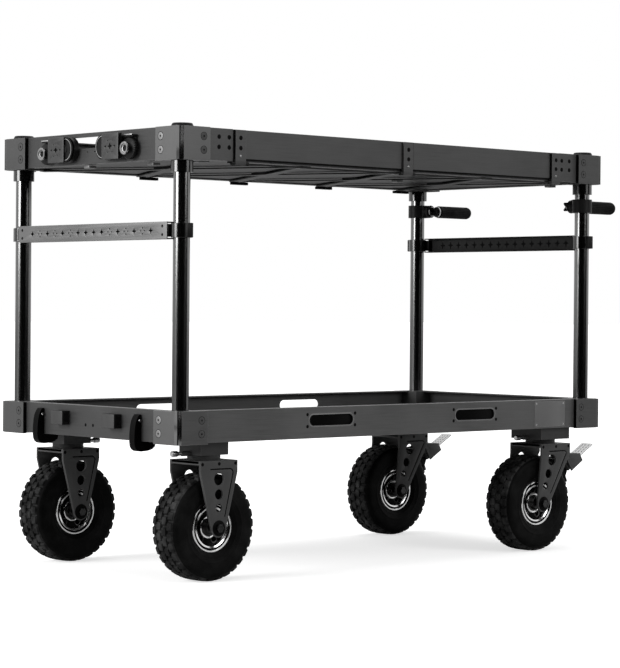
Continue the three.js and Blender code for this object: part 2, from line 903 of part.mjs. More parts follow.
// The fork's side leg: a plate with straight shoulders, tapered to a foot that is round about the axle.
function forkLeg(trail) {
  const half = forkLength / 2;
  const top = forkRise;
  const shoulder = top - forkShoulder;
  const shape = new THREE.Shape();
  const rearSlope = Math.atan2(half + trail - forkFootRadius, shoulder);
  const frontSlope = Math.atan2(half - trail - forkFootRadius, shoulder);
  shape.moveTo(half, top);
  shape.lineTo(-half, top);
  shape.lineTo(-half, shoulder);
  shape.absarc(-trail, 0, forkFootRadius, Math.PI + frontSlope, 2 * Math.PI - rearSlope, false);
  shape.lineTo(half, shoulder);
  return shape;
}

// Three holes of falling size, on a line that leans forwards from the middle of the leg's top.
const forkHole_shares = [0.27, 0.5, 0.7];
const forkHoleLean_share = 1.2;

// A round bar from one reach to another, measured from the swivel axis along the cart.
function lockRod(x, y, diameter, from, to) {
  const way = Math.sign(y);
  return rod("x", diameter, x + way * from, x + way * to, [y, mountBottom + lockHeight], smallSegments);
}

// The front mounts reach up between the rails to the pan, and the wider rear ones bear on the rails' lips.
function casterMount(x, y, isRear) {
  const length = isRear ? rearMountLength : frontMountLength;
  const width = isRear ? rearMountWidth : frontMountWidth;
  const top = isRear ? lowerBottom - clearance : lowerBottom + railWall;
  const block = boxBetween(
    [x - length / 2, x + length / 2],
    [y - width / 2, y + width / 2],
    [mountBottom, top],
  );
  const race = rod("z", raceDiameter, forkTop + clearance, mountBottom + cutOverrun, [x, y]);
  const boss = lockRod(x, y, lockBossDiameter, kingpinDiameter / 2 + cutOverrun, lockBossReach);
  const well = rod(
    "z",
    kingpinDiameter + 2 * runningClearance,
    forkTop - cutOverrun,
    mountBottom + kingpinHeight + 2 * runningClearance,
    [x, y],
  );
  const lockBore = lockRod(x, y, lockPinDiameter + 2 * clearance, 0, lockBossReach + cutOverrun);
  return cut(join(block, race, boss), well, lockBore);
}

function swivelLock(x, y) {
  const tip = kingpinDiameter / 2 + 2 * runningClearance;
  const knobStart = lockBossReach + lockTravel + clearance;
  const pin = lockRod(x, y, lockPinDiameter, tip, knobStart + lockKnobLength / 2);
  const knob = lockRod(x, y, lockKnobDiameter, knobStart, knobStart + lockKnobLength);
  return join(pin, knob);
}

function casterFork(trail) {
  const outer = forkWidth / 2;
  const leg = forkLeg(trail);
  const holes = forkHole_shares.map((drop, i) => {
    const centre = [-trail * drop * forkHoleLean_share, forkRise * (1 - drop)];
    return rod("y", forkHoleDiameters[i], -outer - cutOverrun, outer + cutOverrun, centre, smallSegments);
  });
  const legMiddle = outer - forkWall / 2;
  const legs = [-1, 1].map((side) => slab(leg, "y", forkWall, side * legMiddle, holeSegments / 2));
  const top = boxBetween(
    [-forkLength / 2, forkLength / 2],
    [-outer, outer],
    [forkRise - forkTopWall, forkRise],
  );
  const kingpin = rod(
    "z",
    kingpinDiameter,
    forkRise - forkTopWall / 2,
    forkRise + raceHeight + kingpinHeight,
    [0, 0],
  );
  const notchZ = forkRise + raceHeight + lockHeight;
  const core = kingpinDiameter / 2 - lockTravel - clearance;
  const notches = ["x", "y"].flatMap((axis) =>
    [-1, 1].map((side) =>
      rod(
        axis,
        boreFor(lockPinDiameter, runningClearance, holeSegments),
        side * core,
        side * (kingpinDiameter / 2 + cutOverrun),
        [0, notchZ],
        holeSegments,
      ),
    ),
  );
  const axle = rod("y", axleDiameter, -outer, outer, [-trail, 0], smallSegments);
  const nuts = [-1, 1].map((side) =>
    rod(
      "y",
      axleNutDiameter,
      side * legMiddle,
      side * (outer + axleNutWidth),
      [-trail, 0],
      holeSegments,
    ),
  );
  return join(cut(join(...legs, top, kingpin), ...holes, ...notches), axle, ...nuts);
}

// The tyre is a hollow casing, open to the rim, with two rows of tread blocks that take turns.
function tyre(x, y) {
  const outer = wheelDiameter / 2;
  const halfWide = tyreWidth / 2;
  const bead = rimBedDiameter / 2 + clearance;
  const beadHalf = rimWidth / 2 - rimFlangeWall - clearance;
  const flange = rimFlangeDiameter / 2 + tyreWall / 2;
  const belly = (outer + flange) / 2;
  const outside = [
    [0, beadHalf],
    [flange, beadHalf],
    [belly, halfWide],
    [outer - lugHeight, halfWide - 2 * lugHeight],
    [outer, halfWide / 3],
  ];
  const mirrored = outside.map(([radius, along]) => [radius, -along]).reverse();
  const points = [...outside, ...mirrored].map(([radius, along]) => new THREE.Vector2(radius, along));
  const segments = lugCount * segmentsPerLug;
  const geometry = new THREE.LatheGeometry(points.reverse(), segments);
  const position = geometry.attributes.position;
  for (let i = 0; i < position.count; i += 1) {
    const ring = Math.floor(i / points.length) % segments;
    const along = position.getY(i);
    const radius = Math.hypot(position.getX(i), position.getZ(i));
    const phase = along > 0 ? 0 : 1;
    if (radius > outer - 2 * lugHeight && (ring + phase) % segmentsPerLug === 0) {
      const scale = (radius - lugHeight) / radius;
      position.setX(i, position.getX(i) * scale);
      position.setZ(i, position.getZ(i) * scale);
    }
  }
  const cavityHalf = beadHalf - tyreWall;
  const crown = outer - lugHeight - tyreWall;
  const cavity = [
    [0, beadHalf + cutOverrun],
    [bead, beadHalf + cutOverrun],
    [bead, cavityHalf],
    [belly, halfWide - tyreWall],
    [crown, cavityHalf / 2],
    [crown, -cavityHalf / 2],
    [belly, tyreWall - halfWide],
    [bead, -cavityHalf],
    [bead, -beadHalf - cutOverrun],
    [0, -beadHalf - cutOverrun],
  ];
  const hollow = turned("y", cavity.reverse(), [0, 0, 0], rimSegments);
  return cut(solidOf(geometry), hollow).translate([x, y, axleHeight]);
}

function rim(x, y) {
  const half = rimWidth / 2;
  const flange = rimFlangeDiameter / 2;
  const bed = rimBedDiameter / 2;
  const inner = bed - rimBedWall;
  const hub = hubDiameter / 2;
  const bore = axleDiameter / 2 + runningClearance;
  const hubHalf = hubLength / 2;
  const web = [-rimWebOffset - rimWebWall / 2, -rimWebOffset + rimWebWall / 2];
  const profile = [
    [bore, -hubHalf],
    [hub, -hubHalf],
    [hub, web[0]],
    [inner, web[0]],
    [inner, -half],
    [flange, -half],
    [flange, -half + rimFlangeWall],
    [bed, -half + rimFlangeWall],
    [bed, half - rimFlangeWall],
    [flange, half - rimFlangeWall],
    [flange, half],
    [inner, half],
    [inner, web[1]],
    [hub, web[1]],
    [hub, hubHalf],
    [bore, hubHalf],
    [bore, -hubHalf],
  ];
  const body = turned("y", profile, [0, 0, 0], rimSegments);
  const pitchRadius = (hub + inner) / 2;
  const holes = Array.from({ length: rimHoleCount }, (_, i) => {
    const angle = (2 * Math.PI * i) / rimHoleCount;
    const centre = [pitchRadius * Math.cos(angle), pitchRadius * Math.sin(angle)];
    return rod("y", rimHoleDiameter, web[0] - cutOverrun, web[1] + cutOverrun, centre, holeSegments);
  });
  return cut(body, ...holes).translate([x, y, axleHeight]);
}

// The brake's pivot, measured from the swivel axis and the axle's height.
const brakePivot = [brakePivotReach, forkRise - brakePivotDrop];
const brakeEarMiddle = brakeShoeWidth / 2 + clearance + brakeEarWall / 2;

// A bridge between the fork's legs holds two ears, which carry the brake's pin.
function brakeEars() {
  const [pivotX, pivotZ] = brakePivot;
  const bridgeEnd = forkLength / 2 - brakeBridgeInset;
  const bridgeStart = bridgeEnd - brakeBridgeLength;
  const bridgeTop = forkRise - forkShoulder;
  const bridgeBottom = bridgeTop - brakeBridgeHeight;
  const reach = (forkWidth - forkWall) / 2;
  const bridge = boxBetween([bridgeStart, bridgeEnd], [-reach, reach], [bridgeBottom, bridgeTop]);
  const shape = new THREE.Shape();
  shape.moveTo(bridgeStart, bridgeTop);
  shape.lineTo(bridgeStart, bridgeBottom);
  shape.absarc(pivotX, pivotZ, brakeEarRadius, -Math.PI / 2, Math.PI / 2, false);
  const ears = [-1, 1].map((side) =>
    slab(shape, "y", brakeEarWall, side * brakeEarMiddle, holeSegments / 2),
  );
  const pinReach = brakeBlockWidth / 2 - clearance;
  const pin = rod("y", brakePinDiameter, -pinReach, pinReach, brakePivot, smallSegments);
  return join(bridge, ...ears, pin);
}

// The brake's block is tilted, with a level top, and two slots clear the ears.
function brakeBlock() {
  const [pivotX, pivotZ] = brakePivot;
  const tilt = THREE.MathUtils.degToRad(brakeBlockTilt);
  const low = [pivotX + brakeBlockLead, pivotZ - brakeBlockHeight + brakeBlockRise];
  const tip = [low[0] + brakeBlockLength * Math.cos(tilt), low[1] + brakeBlockLength * Math.sin(tilt)];
  const top = low[1] + brakeBlockHeight;
  const outline = [
    low,
    tip,
    [tip[0] - (top - tip[1]) * Math.tan(tilt), top],
    [low[0] - brakeBlockHeight * Math.tan(tilt), top],
  ];
  const block = slab(polygon(outline), "y", brakeBlockWidth);
  const slots = [-1, 1].map((side) => {
    const middle = side * brakeEarMiddle;
    const half = brakeEarWall / 2 + clearance;
    return boxBetween(
      [pivotX - brakeBlockLength, pivotX + brakeEarRadius + clearance],
      [middle - half, middle + half],
      [low[1] - cutOverrun, top + cutOverrun],
    );
  });
  return { low, solid: cut(block, ...slots) };
}

// Pressing the pedal swings the shoe, below the pivot, on to the tyre.
function brakePedal(x, y, trail) {
  const [pivotX, pivotZ] = brakePivot;
  const block = brakeBlock();
  const pedal = new THREE.BoxGeometry(pedalLength, pedalWidth, pedalWall);
  pedal.translate(pedalReach - pedalLength / 2, 0, -pedalDrop);
  pedal.rotateY(-THREE.MathUtils.degToRad(pedalTilt));
  pedal.translate(pivotX, 0, pivotZ);

  const treadRadius = wheelDiameter / 2 + brakeShoeGap;
  const middle = THREE.MathUtils.degToRad(brakeShoeTurn);
  const half = brakeShoeHeight / 2 / treadRadius;
  const shape = new THREE.Shape();
  shape.absarc(-trail, 0, treadRadius, middle + half, middle - half, true);
  shape.lineTo(...block.low);
  shape.lineTo(pivotX, pivotZ);
  const shoe = slab(shape, "y", brakeShoeWidth, 0, holeSegments / 2);
  const bore = rod(
    "y",
    boreFor(brakePinDiameter, clearance, smallSegments),
    -brakeBlockWidth,
    brakeBlockWidth,
    brakePivot,
    smallSegments,
  );
  return cut(join(block.solid, solidOf(pedal), shoe), bore).translate([x, y, axleHeight]);
}

for (const end of ends) {
  for (const side of sides) {
    const corner = `${end.name}_${side.name}`;
    const x = end.x * (halfLength - casterInsetX);
    const y = side.y * (halfWidth - casterInsetY);
    const isRear = end.x > 0;
    const trail = isRear ? rearTrail : 0;
    const fork = isRear ? join(casterFork(trail), brakeEars()) : casterFork(trail);
    addPiece(`caster_mount_${corner}`, casterMount(x, y, isRear), "mattBlack");
    addPiece(`caster_fork_${corner}`, fork.translate([x, y, axleHeight]), "mattBlack");
    addPiece(`tyre_${corner}`, tyre(x - trail, y), "rubber");
    addPiece(`rim_${corner}`, rim(x - trail, y), "chrome");
    addPiece(`swivel_lock_${corner}`, swivelLock(x, y), "steel");
    if (isRear) {
      addPiece(`brake_pedal_${side.name}`, brakePedal(x, y, trail), "steel");
    }
  }
}

// The origin is on the ground, under the middle of the whole cart.
const extent = new THREE.Box3().setFromObject(cart);
const middle = extent.getCenter(new THREE.Vector3());
cart.position.set(-middle.x, -middle.y, -extent.min.z);

export default cart;
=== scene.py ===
"""The looks of the camera cart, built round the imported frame."""

import math

import bmesh
import bpy
from mathutils import Matrix, Vector


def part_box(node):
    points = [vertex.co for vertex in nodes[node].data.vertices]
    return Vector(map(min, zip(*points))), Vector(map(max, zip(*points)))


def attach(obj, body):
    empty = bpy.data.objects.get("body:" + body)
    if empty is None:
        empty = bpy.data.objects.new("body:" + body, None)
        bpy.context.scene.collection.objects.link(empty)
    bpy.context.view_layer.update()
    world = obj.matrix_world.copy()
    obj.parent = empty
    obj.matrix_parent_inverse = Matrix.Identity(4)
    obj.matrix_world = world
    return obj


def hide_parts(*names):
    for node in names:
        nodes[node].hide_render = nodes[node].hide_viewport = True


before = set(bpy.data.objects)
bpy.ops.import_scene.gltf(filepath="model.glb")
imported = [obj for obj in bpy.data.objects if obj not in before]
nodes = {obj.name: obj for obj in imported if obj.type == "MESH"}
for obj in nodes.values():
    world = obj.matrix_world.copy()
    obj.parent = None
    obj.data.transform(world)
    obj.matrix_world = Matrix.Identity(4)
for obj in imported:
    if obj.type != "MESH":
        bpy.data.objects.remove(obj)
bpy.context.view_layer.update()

scene = bpy.context.scene
MM = 0.001
SIDES = {"left": -1, "right": 1}
ENDS = {"front": -1, "rear": 1}
CORNERS = [(end, side) for end in ENDS for side in SIDES]
FULL_TURN = 2 * math.pi
ALONG_Y = (0, 1, 0)
WAYS = (-1, 1)
SMOOTH_ANGLE = math.radians(32)
WELD = 0.01 * MM
NO_RADIUS = 0.0001 * MM


# The camera, at the photograph's viewing angle

PICTURE_WIDTH = 620
FOCAL_PIXELS = 2317.48
SENSOR = 36.0
FARTHEST = 200
EYE = Vector((-4.1489, -4.5456, 0.6596))
AZIMUTH = math.radians(41.887)
PITCH = math.radians(-0.7295)
ROLL = math.radians(0.4698)


def make_camera():
    """The camera that took the photograph."""
    forward = Vector((
        math.sin(AZIMUTH) * math.cos(PITCH),
        math.cos(AZIMUTH) * math.cos(PITCH),
        math.sin(PITCH),
    ))
    level = forward.cross(Vector((0, 0, 1))).normalized()
    upright = level.cross(forward)
    across = math.cos(ROLL) * level + math.sin(ROLL) * upright
    up = -math.sin(ROLL) * level + math.cos(ROLL) * upright
    data = bpy.data.cameras.new("camera")
    data.sensor_fit = "HORIZONTAL"
    data.sensor_width = SENSOR
    data.lens = FOCAL_PIXELS * SENSOR / PICTURE_WIDTH
    data.clip_end = FARTHEST
    camera = bpy.data.objects.new("camera", data)
    turn = Matrix((across, up, -forward)).transposed()
    camera.matrix_world = Matrix.Translation(EYE) @ turn.to_4x4()
    scene.collection.objects.link(camera)
    scene.camera = camera


# Materials

SHEET_WEAR = 1.2 * MM
SHEET_GRAIN = 0.04 * MM
COAT_WEAR = 1 * MM
COAT_GRAIN = 0.12 * MM
PLASTIC_GRAIN = 0.1 * MM
RUBBER_GRAIN = 0.2 * MM
RIPPLE = 0.03 * MM


def wired(tree, kind, inputs=None, **settings):
    """Adds a node with its settings and its inputs, which are values or other nodes' sockets."""
    made = tree.nodes.new(kind)
    for name, value in settings.items():
        setattr(made, name, value)
    for socket, value in (inputs or {}).items():
        if isinstance(value, bpy.types.NodeSocket):
            tree.links.new(value, made.inputs[socket])
        else:
            made.inputs[socket].default_value = value
    return made


class Finish:
    """A procedural material under construction: a principled shader with its texture nodes."""

    def __init__(self, name, metallic, **sockets):
        self.material = bpy.data.materials.new(name)
        self.material.use_nodes = True
        self.tree = self.material.node_tree
        self.shader = self.tree.nodes["Principled BSDF"]
        self.shader.inputs["Metallic"].default_value = metallic
        self.shader.inputs["Specular IOR Level"].default_value = 0.5 if metallic == 1.0 else 0.12
        for socket, value in sockets.items():
            self.shader.inputs[socket.replace("_", " ")].default_value = value
        self.place = self.node("ShaderNodeTexCoord").outputs["Object"]

    def node(self, kind, **settings):
        made = self.tree.nodes.new(kind)
        for name, value in settings.items():
            setattr(made, name, value)
        return made

    def link(self, start, end):
        self.tree.links.new(start, end)

    def stretched(self, scale):
        """The object's own coordinates, stretched along one or more axes."""
        mapping = self.node("ShaderNodeMapping")
        mapping.inputs["Scale"].default_value = scale
        self.link(self.place, mapping.inputs["Vector"])
        return mapping.outputs["Vector"]

    def noise(self, scale, detail=2.0, place=None):
        """A noise whose cells are about 1 / scale metres wide."""
        noise = self.node("ShaderNodeTexNoise")
        noise.inputs["Scale"].default_value = scale
        noise.inputs["Detail"].default_value = detail
        self.link(place or self.place, noise.inputs["Vector"])
        return noise.outputs["Fac"]

    def edges(self, radius):
        """1 on an edge and 0 away from it."""
        bevel = self.node("ShaderNodeBevel", samples=3)
        bevel.inputs["Radius"].default_value = radius
        normal = self.node("ShaderNodeNewGeometry").outputs["Normal"]
        dot = self.node("ShaderNodeVectorMath", operation="DOT_PRODUCT")
        self.link(bevel.outputs["Normal"], dot.inputs[0])
        self.link(normal, dot.inputs[1])
        return self.ranged(dot.outputs["Value"], 1.0, 0.9, 0.0, 1.0)

    def ranged(self, value, low, high, start, end):
        """The value's range from low to high, carried to start and end."""
        spread = self.node("ShaderNodeMapRange")
        for socket, number in zip(("From Min", "From Max", "To Min", "To Max"), (low, high, start, end)):
            spread.inputs[socket].default_value = number
        self.link(value, spread.inputs["Value"])
        return spread.outputs["Result"]

    def mixed(self, share, first, second):
        """A colour between first and second, each a colour or a socket."""
        mix = self.node("ShaderNodeMix", data_type="RGBA")
        self.link(share, mix.inputs["Factor"])
        for name, colour in (("A", first), ("B", second)):
            socket = next(s for s in mix.inputs if s.name == name and s.type == "RGBA")
            if isinstance(colour, tuple):
                socket.default_value = (*colour, 1)
            else:
                self.link(colour, socket)
        return next(s for s in mix.outputs if s.type == "RGBA")

    def colour(self, socket):
        self.link(socket, self.shader.inputs["Base Color"])

    def rough(self, socket):
        self.link(socket, self.shader.inputs["Roughness"])

    def bump(self, height, depth, strength):
        bump = self.node("ShaderNodeBump")
        bump.inputs["Distance"].default_value = depth
        bump.inputs["Strength"].default_value = strength
        self.link(height, bump.inputs["Height"])
        self.link(bump.outputs["Normal"], self.shader.inputs["Normal"])


def grey(level):
    return (level, level, level)


def anodised(name, level, along, metallic=0.55):
    """Satin anodised sheet, drawn along one axis, with worn edges."""
    finish = Finish(name, metallic)
    drawn = finish.stretched(tuple(12 if axis == along else 700 for axis in "xyz"))
    cloud = finish.noise(5, 3)
    streak = finish.noise(1, 4, drawn)
    base = finish.mixed(finish.ranged(cloud, 0.3, 0.7, 0, 1), grey(level * 0.86), grey(level * 1.12))
    lined = finish.mixed(finish.ranged(streak, 0.35, 0.65, 0, 0.25), base, grey(level * 1.6))
    worn = finish.mixed(finish.ranged(finish.edges(SHEET_WEAR), 0, 1, 0, 0.5), lined, grey(level * 3.2))
    finish.colour(worn)
    finish.rough(finish.ranged(streak, 0.3, 0.7, 0.40, 0.52))
    finish.bump(finish.noise(2200, 2), SHEET_GRAIN, 0.6)
    return finish.material


def glossy_tube(name, sheen):
    """Gloss black enamel over a drawn tube, with faint long ripples."""
    finish = Finish(name, 0.0, IOR=1.8, Specular_IOR_Level=sheen)
    drawn = finish.stretched((500, 500, 3))
    streak = finish.noise(1, 3, drawn)
    finish.colour(finish.mixed(streak, grey(0.0006), grey(0.002)))
    finish.rough(finish.ranged(streak, 0.3, 0.7, 0.12, 0.19))
    finish.bump(finish.noise(60, 2), RIPPLE, 0.3)
    return finish.material


def powder_coat(name, level, sheen=0.12):
    """Fine-textured black powder coat, thinner and paler on the edges."""
    finish = Finish(name, 0.0, Specular_IOR_Level=sheen)
    cloud = finish.noise(14, 3)
    base = finish.mixed(cloud, grey(level * 0.8), grey(level * 1.25))
    worn = finish.mixed(finish.ranged(finish.edges(COAT_WEAR), 0, 1, 0, 0.45), base, grey(level * 4))
    finish.colour(worn)
    grain = finish.noise(1500, 3)
    finish.rough(finish.ranged(grain, 0.3, 0.7, 0.34, 0.48))
    finish.bump(grain, COAT_GRAIN, 0.7)
    return finish.material


def moulded(name, level, roughness):
    """Moulded black plastic with a fine spark-eroded grain."""
    finish = Finish(name, 0.0)
    grain = finish.noise(1100, 4)
    finish.colour(finish.mixed(finish.noise(40), grey(level * 0.8), grey(level * 1.3)))
    finish.rough(finish.ranged(grain, 0.3, 0.7, roughness - 0.08, roughness + 0.1))
    finish.bump(grain, PLASTIC_GRAIN, 0.6)
    return finish.material


def rubber(name, level):
    """Matt rubber, a little dusty where it is rough."""
    finish = Finish(name, 0.0, Specular_IOR_Level=0.07)
    dust = finish.noise(28, 5)
    grain = finish.noise(900, 3)
    finish.colour(finish.mixed(finish.ranged(dust, 0.45, 0.75, 0, 1), grey(level), grey(level * 6)))
    finish.rough(finish.ranged(grain, 0.3, 0.7, 0.5, 0.68))
    finish.bump(grain, RUBBER_GRAIN, 0.7)
    return finish.material


def bright_metal(name, level, roughness):
    """Bright plated metal with fine turning marks and slight smudges."""
    finish = Finish(name, 1.0)
    smudge = finish.noise(45, 4)
    fine = finish.noise(1600, 2)
    finish.colour(finish.mixed(smudge, grey(level * 0.93), grey(min(level * 1.05, 0.95))))
    finish.rough(finish.ranged(smudge, 0.35, 0.7, roughness * 0.7, roughness * 1.5))
    finish.bump(fine, RIPPLE, 0.5)
    return finish.material


deck_x = anodised("deck_metal_x", 0.076, "x")
# Painted light: the lower side rails get a lighter copy of the same deck metal.
deck_painted_lighter_low = anodised("deck_metal_low_painted_lighter", 0.1, "x")
deck_y = anodised("deck_metal_y", 0.06, "y")
plate_metal = anodised("plate_metal", 0.15, "y")
tube_gloss = glossy_tube("post_metal", 1.0)
collar_gloss = glossy_tube("collar_metal", 0.4)
coat = powder_coat("black_metal", 0.008)
fork_coat = powder_coat("fork_metal", 0.056)
mount_coat = powder_coat("mount_metal", 0.04)
under_metal = powder_coat("under_metal", 0.006)
bar_metal = anodised("bar_metal", 0.15, "y")
# Painted light: a brighter copy of the deck metal, for the front left corner's brackets only.
bracket_metal_painted_lighter = anodised("bracket_metal_painted_lighter", 0.115, "x", 1.0)
axle_metal = bright_metal("axle_metal", 0.05, 0.3)
# Painted light: a lighter copy of the tyre rubber for the tread rows.
lug_rubber_painted_lighter = rubber("lug_rubber_painted_lighter", 0.008)
bar_back = powder_coat("bar_back", 0.022)
dark = powder_coat("dark_metal", 0.0015, 0.04)
plastic = moulded("knob_plastic", 0.006, 0.38)
grip = rubber("grip_rubber", 0.002)
tread = rubber("tyre_rubber", 0.001)
chrome = bright_metal("rim_chrome", 0.75, 0.14)
steel = bright_metal("bright_steel", 0.5, 0.26)
# Painted light: a pale copy of the screw heads, for screws on lit faces.
pale = anodised("screw_head_painted_light", 0.2, "y")
screw_metal = bright_metal("screw_metal", 0.3, 0.3)


# Shapes


def facing(out, at=(0, 0, 0)):
    """A matrix that carries the Z axis to another direction, at a place. The Y axis goes up, or along Y."""
    out = Vector(out).normalized()
    up = Vector((0, 0, 1)) if abs(out.z) < 0.9 else Vector((0, 1, 0))
    across = up.cross(out).normalized()
    turn = Matrix((across, out.cross(across), out)).transposed().to_4x4()
    return Matrix.Translation(Vector(at)) @ turn


def turned(shape, profile, place, segments=48, reach=None):
    """Adds a turned body of (radius, height) pairs, open from pole to pole or closed into a ring."""
    rings = []
    for index, (radius, height) in enumerate(profile):
        if radius < NO_RADIUS:
            rings.append([shape.verts.new(place @ Vector((0, 0, height)))])
            continue
        ring = []
        for step in range(segments):
            angle = FULL_TURN * step / segments
            wide = radius * (reach(index, angle) if reach else 1)
            point = Vector((wide * math.cos(angle), wide * math.sin(angle), height))
            ring.append(shape.verts.new(place @ point))
        rings.append(ring)
    pairs = list(zip(rings, rings[1:]))
    if len(rings[0]) > 1 and len(rings[-1]) > 1:
        pairs.append((rings[-1], rings[0]))
    for low, high in pairs:
        for step in range(segments):
            after = (step + 1) % segments
            corners = ((low, step), (low, after), (high, after), (high, step))
            face = list(dict.fromkeys(ring[at % len(ring)] for ring, at in corners))
            if len(face) > 2:
                shape.faces.new(face)


def rod(shape, place, radius, half, segments=24):
    """Adds a round bar, centred on its length."""
    turned(shape, [(0, -half), (radius, -half), (radius, half), (0, half)], place, segments)


def moved(place, height, across=0, up=0):
    """A place moved along its own axes."""
    return place @ Matrix.Translation((across, up, height))


def hexagonal(index, angle):
    """How much further than its flats a hexagon reaches at an angle."""
    sixth = FULL_TURN / 6
    return 1 / math.cos((angle % sixth) - sixth / 2)


def rounded(width, height, radius, steps=4):
    """The outline of a rectangle with rounded corners, round its middle."""
    points = []
    for quarter, (across, up) in enumerate(((1, 1), (-1, 1), (-1, -1), (1, -1))):
        for step in range(steps + 1):
            angle = (quarter + step / steps) * math.pi / 2
            points.append((
                across * (width / 2 - radius) + radius * math.cos(angle),
                up * (height / 2 - radius) + radius * math.sin(angle),
            ))
    return points


def arc(radius, first, last, steps, at=(0, 0)):
    """Points along an arc, from its first angle to its last."""
    angles = [first + (last - first) * step / steps for step in range(steps + 1)]
    return [(at[0] + radius * math.cos(angle), at[1] + radius * math.sin(angle)) for angle in angles]


def circle(radius, at=(0, 0), steps=24):
    return arc(radius, 0, FULL_TURN, steps, at)[:-1]


def scaled(shares, wide, tall, base=0):
    """Points from shares of a width and a height, above a base."""
    return [(wide * across, base + tall * up) for across, up in shares]


def four(across, up):
    """The four corners of a pattern."""
    return [(across * x, up * y) for x in WAYS for y in WAYS]


def plate(shape, outlines, thickness, edge, place):
    """Adds a plate with an outline and holes, its rims rounded, centred on its thickness."""
    curve = bpy.data.curves.new("outline", "CURVE")
    curve.dimensions = "2D"
    curve.fill_mode = "BOTH"
    curve.extrude = thickness / 2 - edge
    curve.bevel_depth = edge
    curve.offset = -edge
    curve.bevel_resolution = 1
    for points in outlines:
        spline = curve.splines.new("POLY")
        spline.points.add(len(points) - 1)
        for point, (across, up) in zip(spline.points, points):
            point.co = (across, up, 0, 1)
        spline.use_cyclic_u = True
    holder = bpy.data.objects.new("outline", curve)
    mesh = bpy.data.meshes.new_from_object(holder)
    part = bmesh.new()
    part.from_mesh(mesh)
    bmesh.ops.remove_doubles(part, verts=part.verts, dist=WELD / 10)
    bmesh.ops.transform(part, matrix=place, verts=part.verts)
    part.to_mesh(mesh)
    part.free()
    shape.from_mesh(mesh)
    bpy.data.objects.remove(holder)
    bpy.data.curves.remove(curve)
    bpy.data.meshes.remove(mesh)


def piece(name, shape, material, body):
    """Makes an object of a shape, with its material, riding on a body."""
    bmesh.ops.recalc_face_normals(shape, faces=shape.faces)
    mesh = bpy.data.meshes.new(name)
    shape.to_mesh(mesh)
    shape.free()
    mesh.materials.append(material)
    mesh.shade_smooth()
    mesh.set_sharp_from_angle(angle=SMOOTH_ANGLE)
    made = bpy.data.objects.new(name, mesh)
    scene.collection.objects.link(made)
    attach(made, body)
    return made


def middle(node):
    low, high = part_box(node)
    return (low + high) / 2


# The frame's own nodes


def soften():
    """A node group that welds a solid's faces and shades its gentle edges smooth."""
    group = bpy.data.node_groups.new("soften", "GeometryNodeTree")
    group.interface.new_socket("Geometry", in_out="INPUT", socket_type="NodeSocketGeometry")
    group.interface.new_socket("Geometry", in_out="OUTPUT", socket_type="NodeSocketGeometry")
    solid = wired(group, "NodeGroupInput").outputs[0]
    bare = wired(group, "GeometryNodeRemoveAttribute", {"Geometry": solid, "Name": "custom_normal"})
    inputs = {"Geometry": bare.outputs["Geometry"], "Distance": WELD}
    weld = wired(group, "GeometryNodeMergeByDistance", inputs)
    inputs = {"Geometry": weld.outputs["Geometry"]}
    faces = wired(group, "GeometryNodeSetShadeSmooth", inputs, domain="FACE")
    angle = wired(group, "GeometryNodeInputMeshEdgeAngle").outputs["Unsigned Angle"]
    inputs = {"A": angle, "B": SMOOTH_ANGLE}
    gentle = wired(group, "FunctionNodeCompare", inputs, operation="LESS_THAN")
    inputs = {"Geometry": faces.outputs["Geometry"], "Shade Smooth": gentle.outputs["Result"]}
    shade = wired(group, "GeometryNodeSetShadeSmooth", inputs, domain="EDGE")
    wired(group, "NodeGroupOutput", {0: shade.outputs["Geometry"]})
    return group


def dress_nodes():
    """Gives each node its finish, and shades it as one welded solid."""
    finishes = [
        (("upper_pan", "lower_pan"), under_metal),
        # Painted light: a lighter copy of the deck metal on the lower side rails.
        (("lower_left", "lower_right"), deck_painted_lighter_low),
        (("upper_left", "upper_right", "folding"), deck_x),
        (("upper_front", "upper_rear", "lower_front", "lower_rear"), deck_y),
        # Painted light: the front left brackets get a brighter copy of the metal the other brackets have.
        (("upper_bracket_front_left", "lower_bracket_front_left"), bracket_metal_painted_lighter),
        (("upper_bracket", "lower_bracket"), deck_x),
        (("caster_mount",), mount_coat),
        (("cable_hook",), dark),
        (("post_",), tube_gloss),
        (("tyre",), tread),
        (("rim",), chrome),
        (("push_handle",), grip),
        (("clamp_knob",), plastic),
    ]
    smoothing = soften()
    for name, node in nodes.items():
        material = next((m for starts, m in finishes if name.startswith(starts)), coat)
        node.data.materials.clear()
        node.data.materials.append(material)
        node.modifiers.new("soften", "NODES").node_group = smoothing


# Posts

POST_RADIUS = 20 * MM
TUBE_CHAMFER = 0.6 * MM
CAP_HEIGHT = 8 * MM
CAP_SHARES = [
    (0, 0), (0.9692, 0), (1, 0.1), (1, 0.375), (0.9038, 0.925), (0.8654, 1), (0.4231, 1), (0.3846, 0.875),
    (0, 0.875),
]


def make_posts():
    """Gloss tubes with their caps, in place of the faceted ones."""
    for end, side in CORNERS:
        name = f"post_{end}_{side}"
        low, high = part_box(name)
        at = middle(name)
        seat = high.z - low.z - CAP_HEIGHT
        foot = Matrix.Translation((at.x, at.y, low.z))
        start = [(0, 0), (POST_RADIUS - TUBE_CHAMFER, 0), (POST_RADIUS, TUBE_CHAMFER)]
        shape = bmesh.new()
        turned(shape, [*start, (POST_RADIUS, seat), (0, seat)], foot, 64)
        cap = scaled(CAP_SHARES, (high.x - low.x) / 2, CAP_HEIGHT, seat)
        turned(gather("post_caps", plastic, slot="knob_plastic"), cap, foot, 64)
        made = piece(f"post_tube_{end}_{side}", shape, tube_gloss, "cart_frame")
        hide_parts(name)


# Small parts, collected into named pieces

gathered = {}


def gather(name, material, body="cart_frame", slot="black_metal"):
    """The shape that collects one named piece's parts until it is made."""
    if name not in gathered:
        gathered[name] = (bmesh.new(), material, body, slot)
    return gathered[name][0]


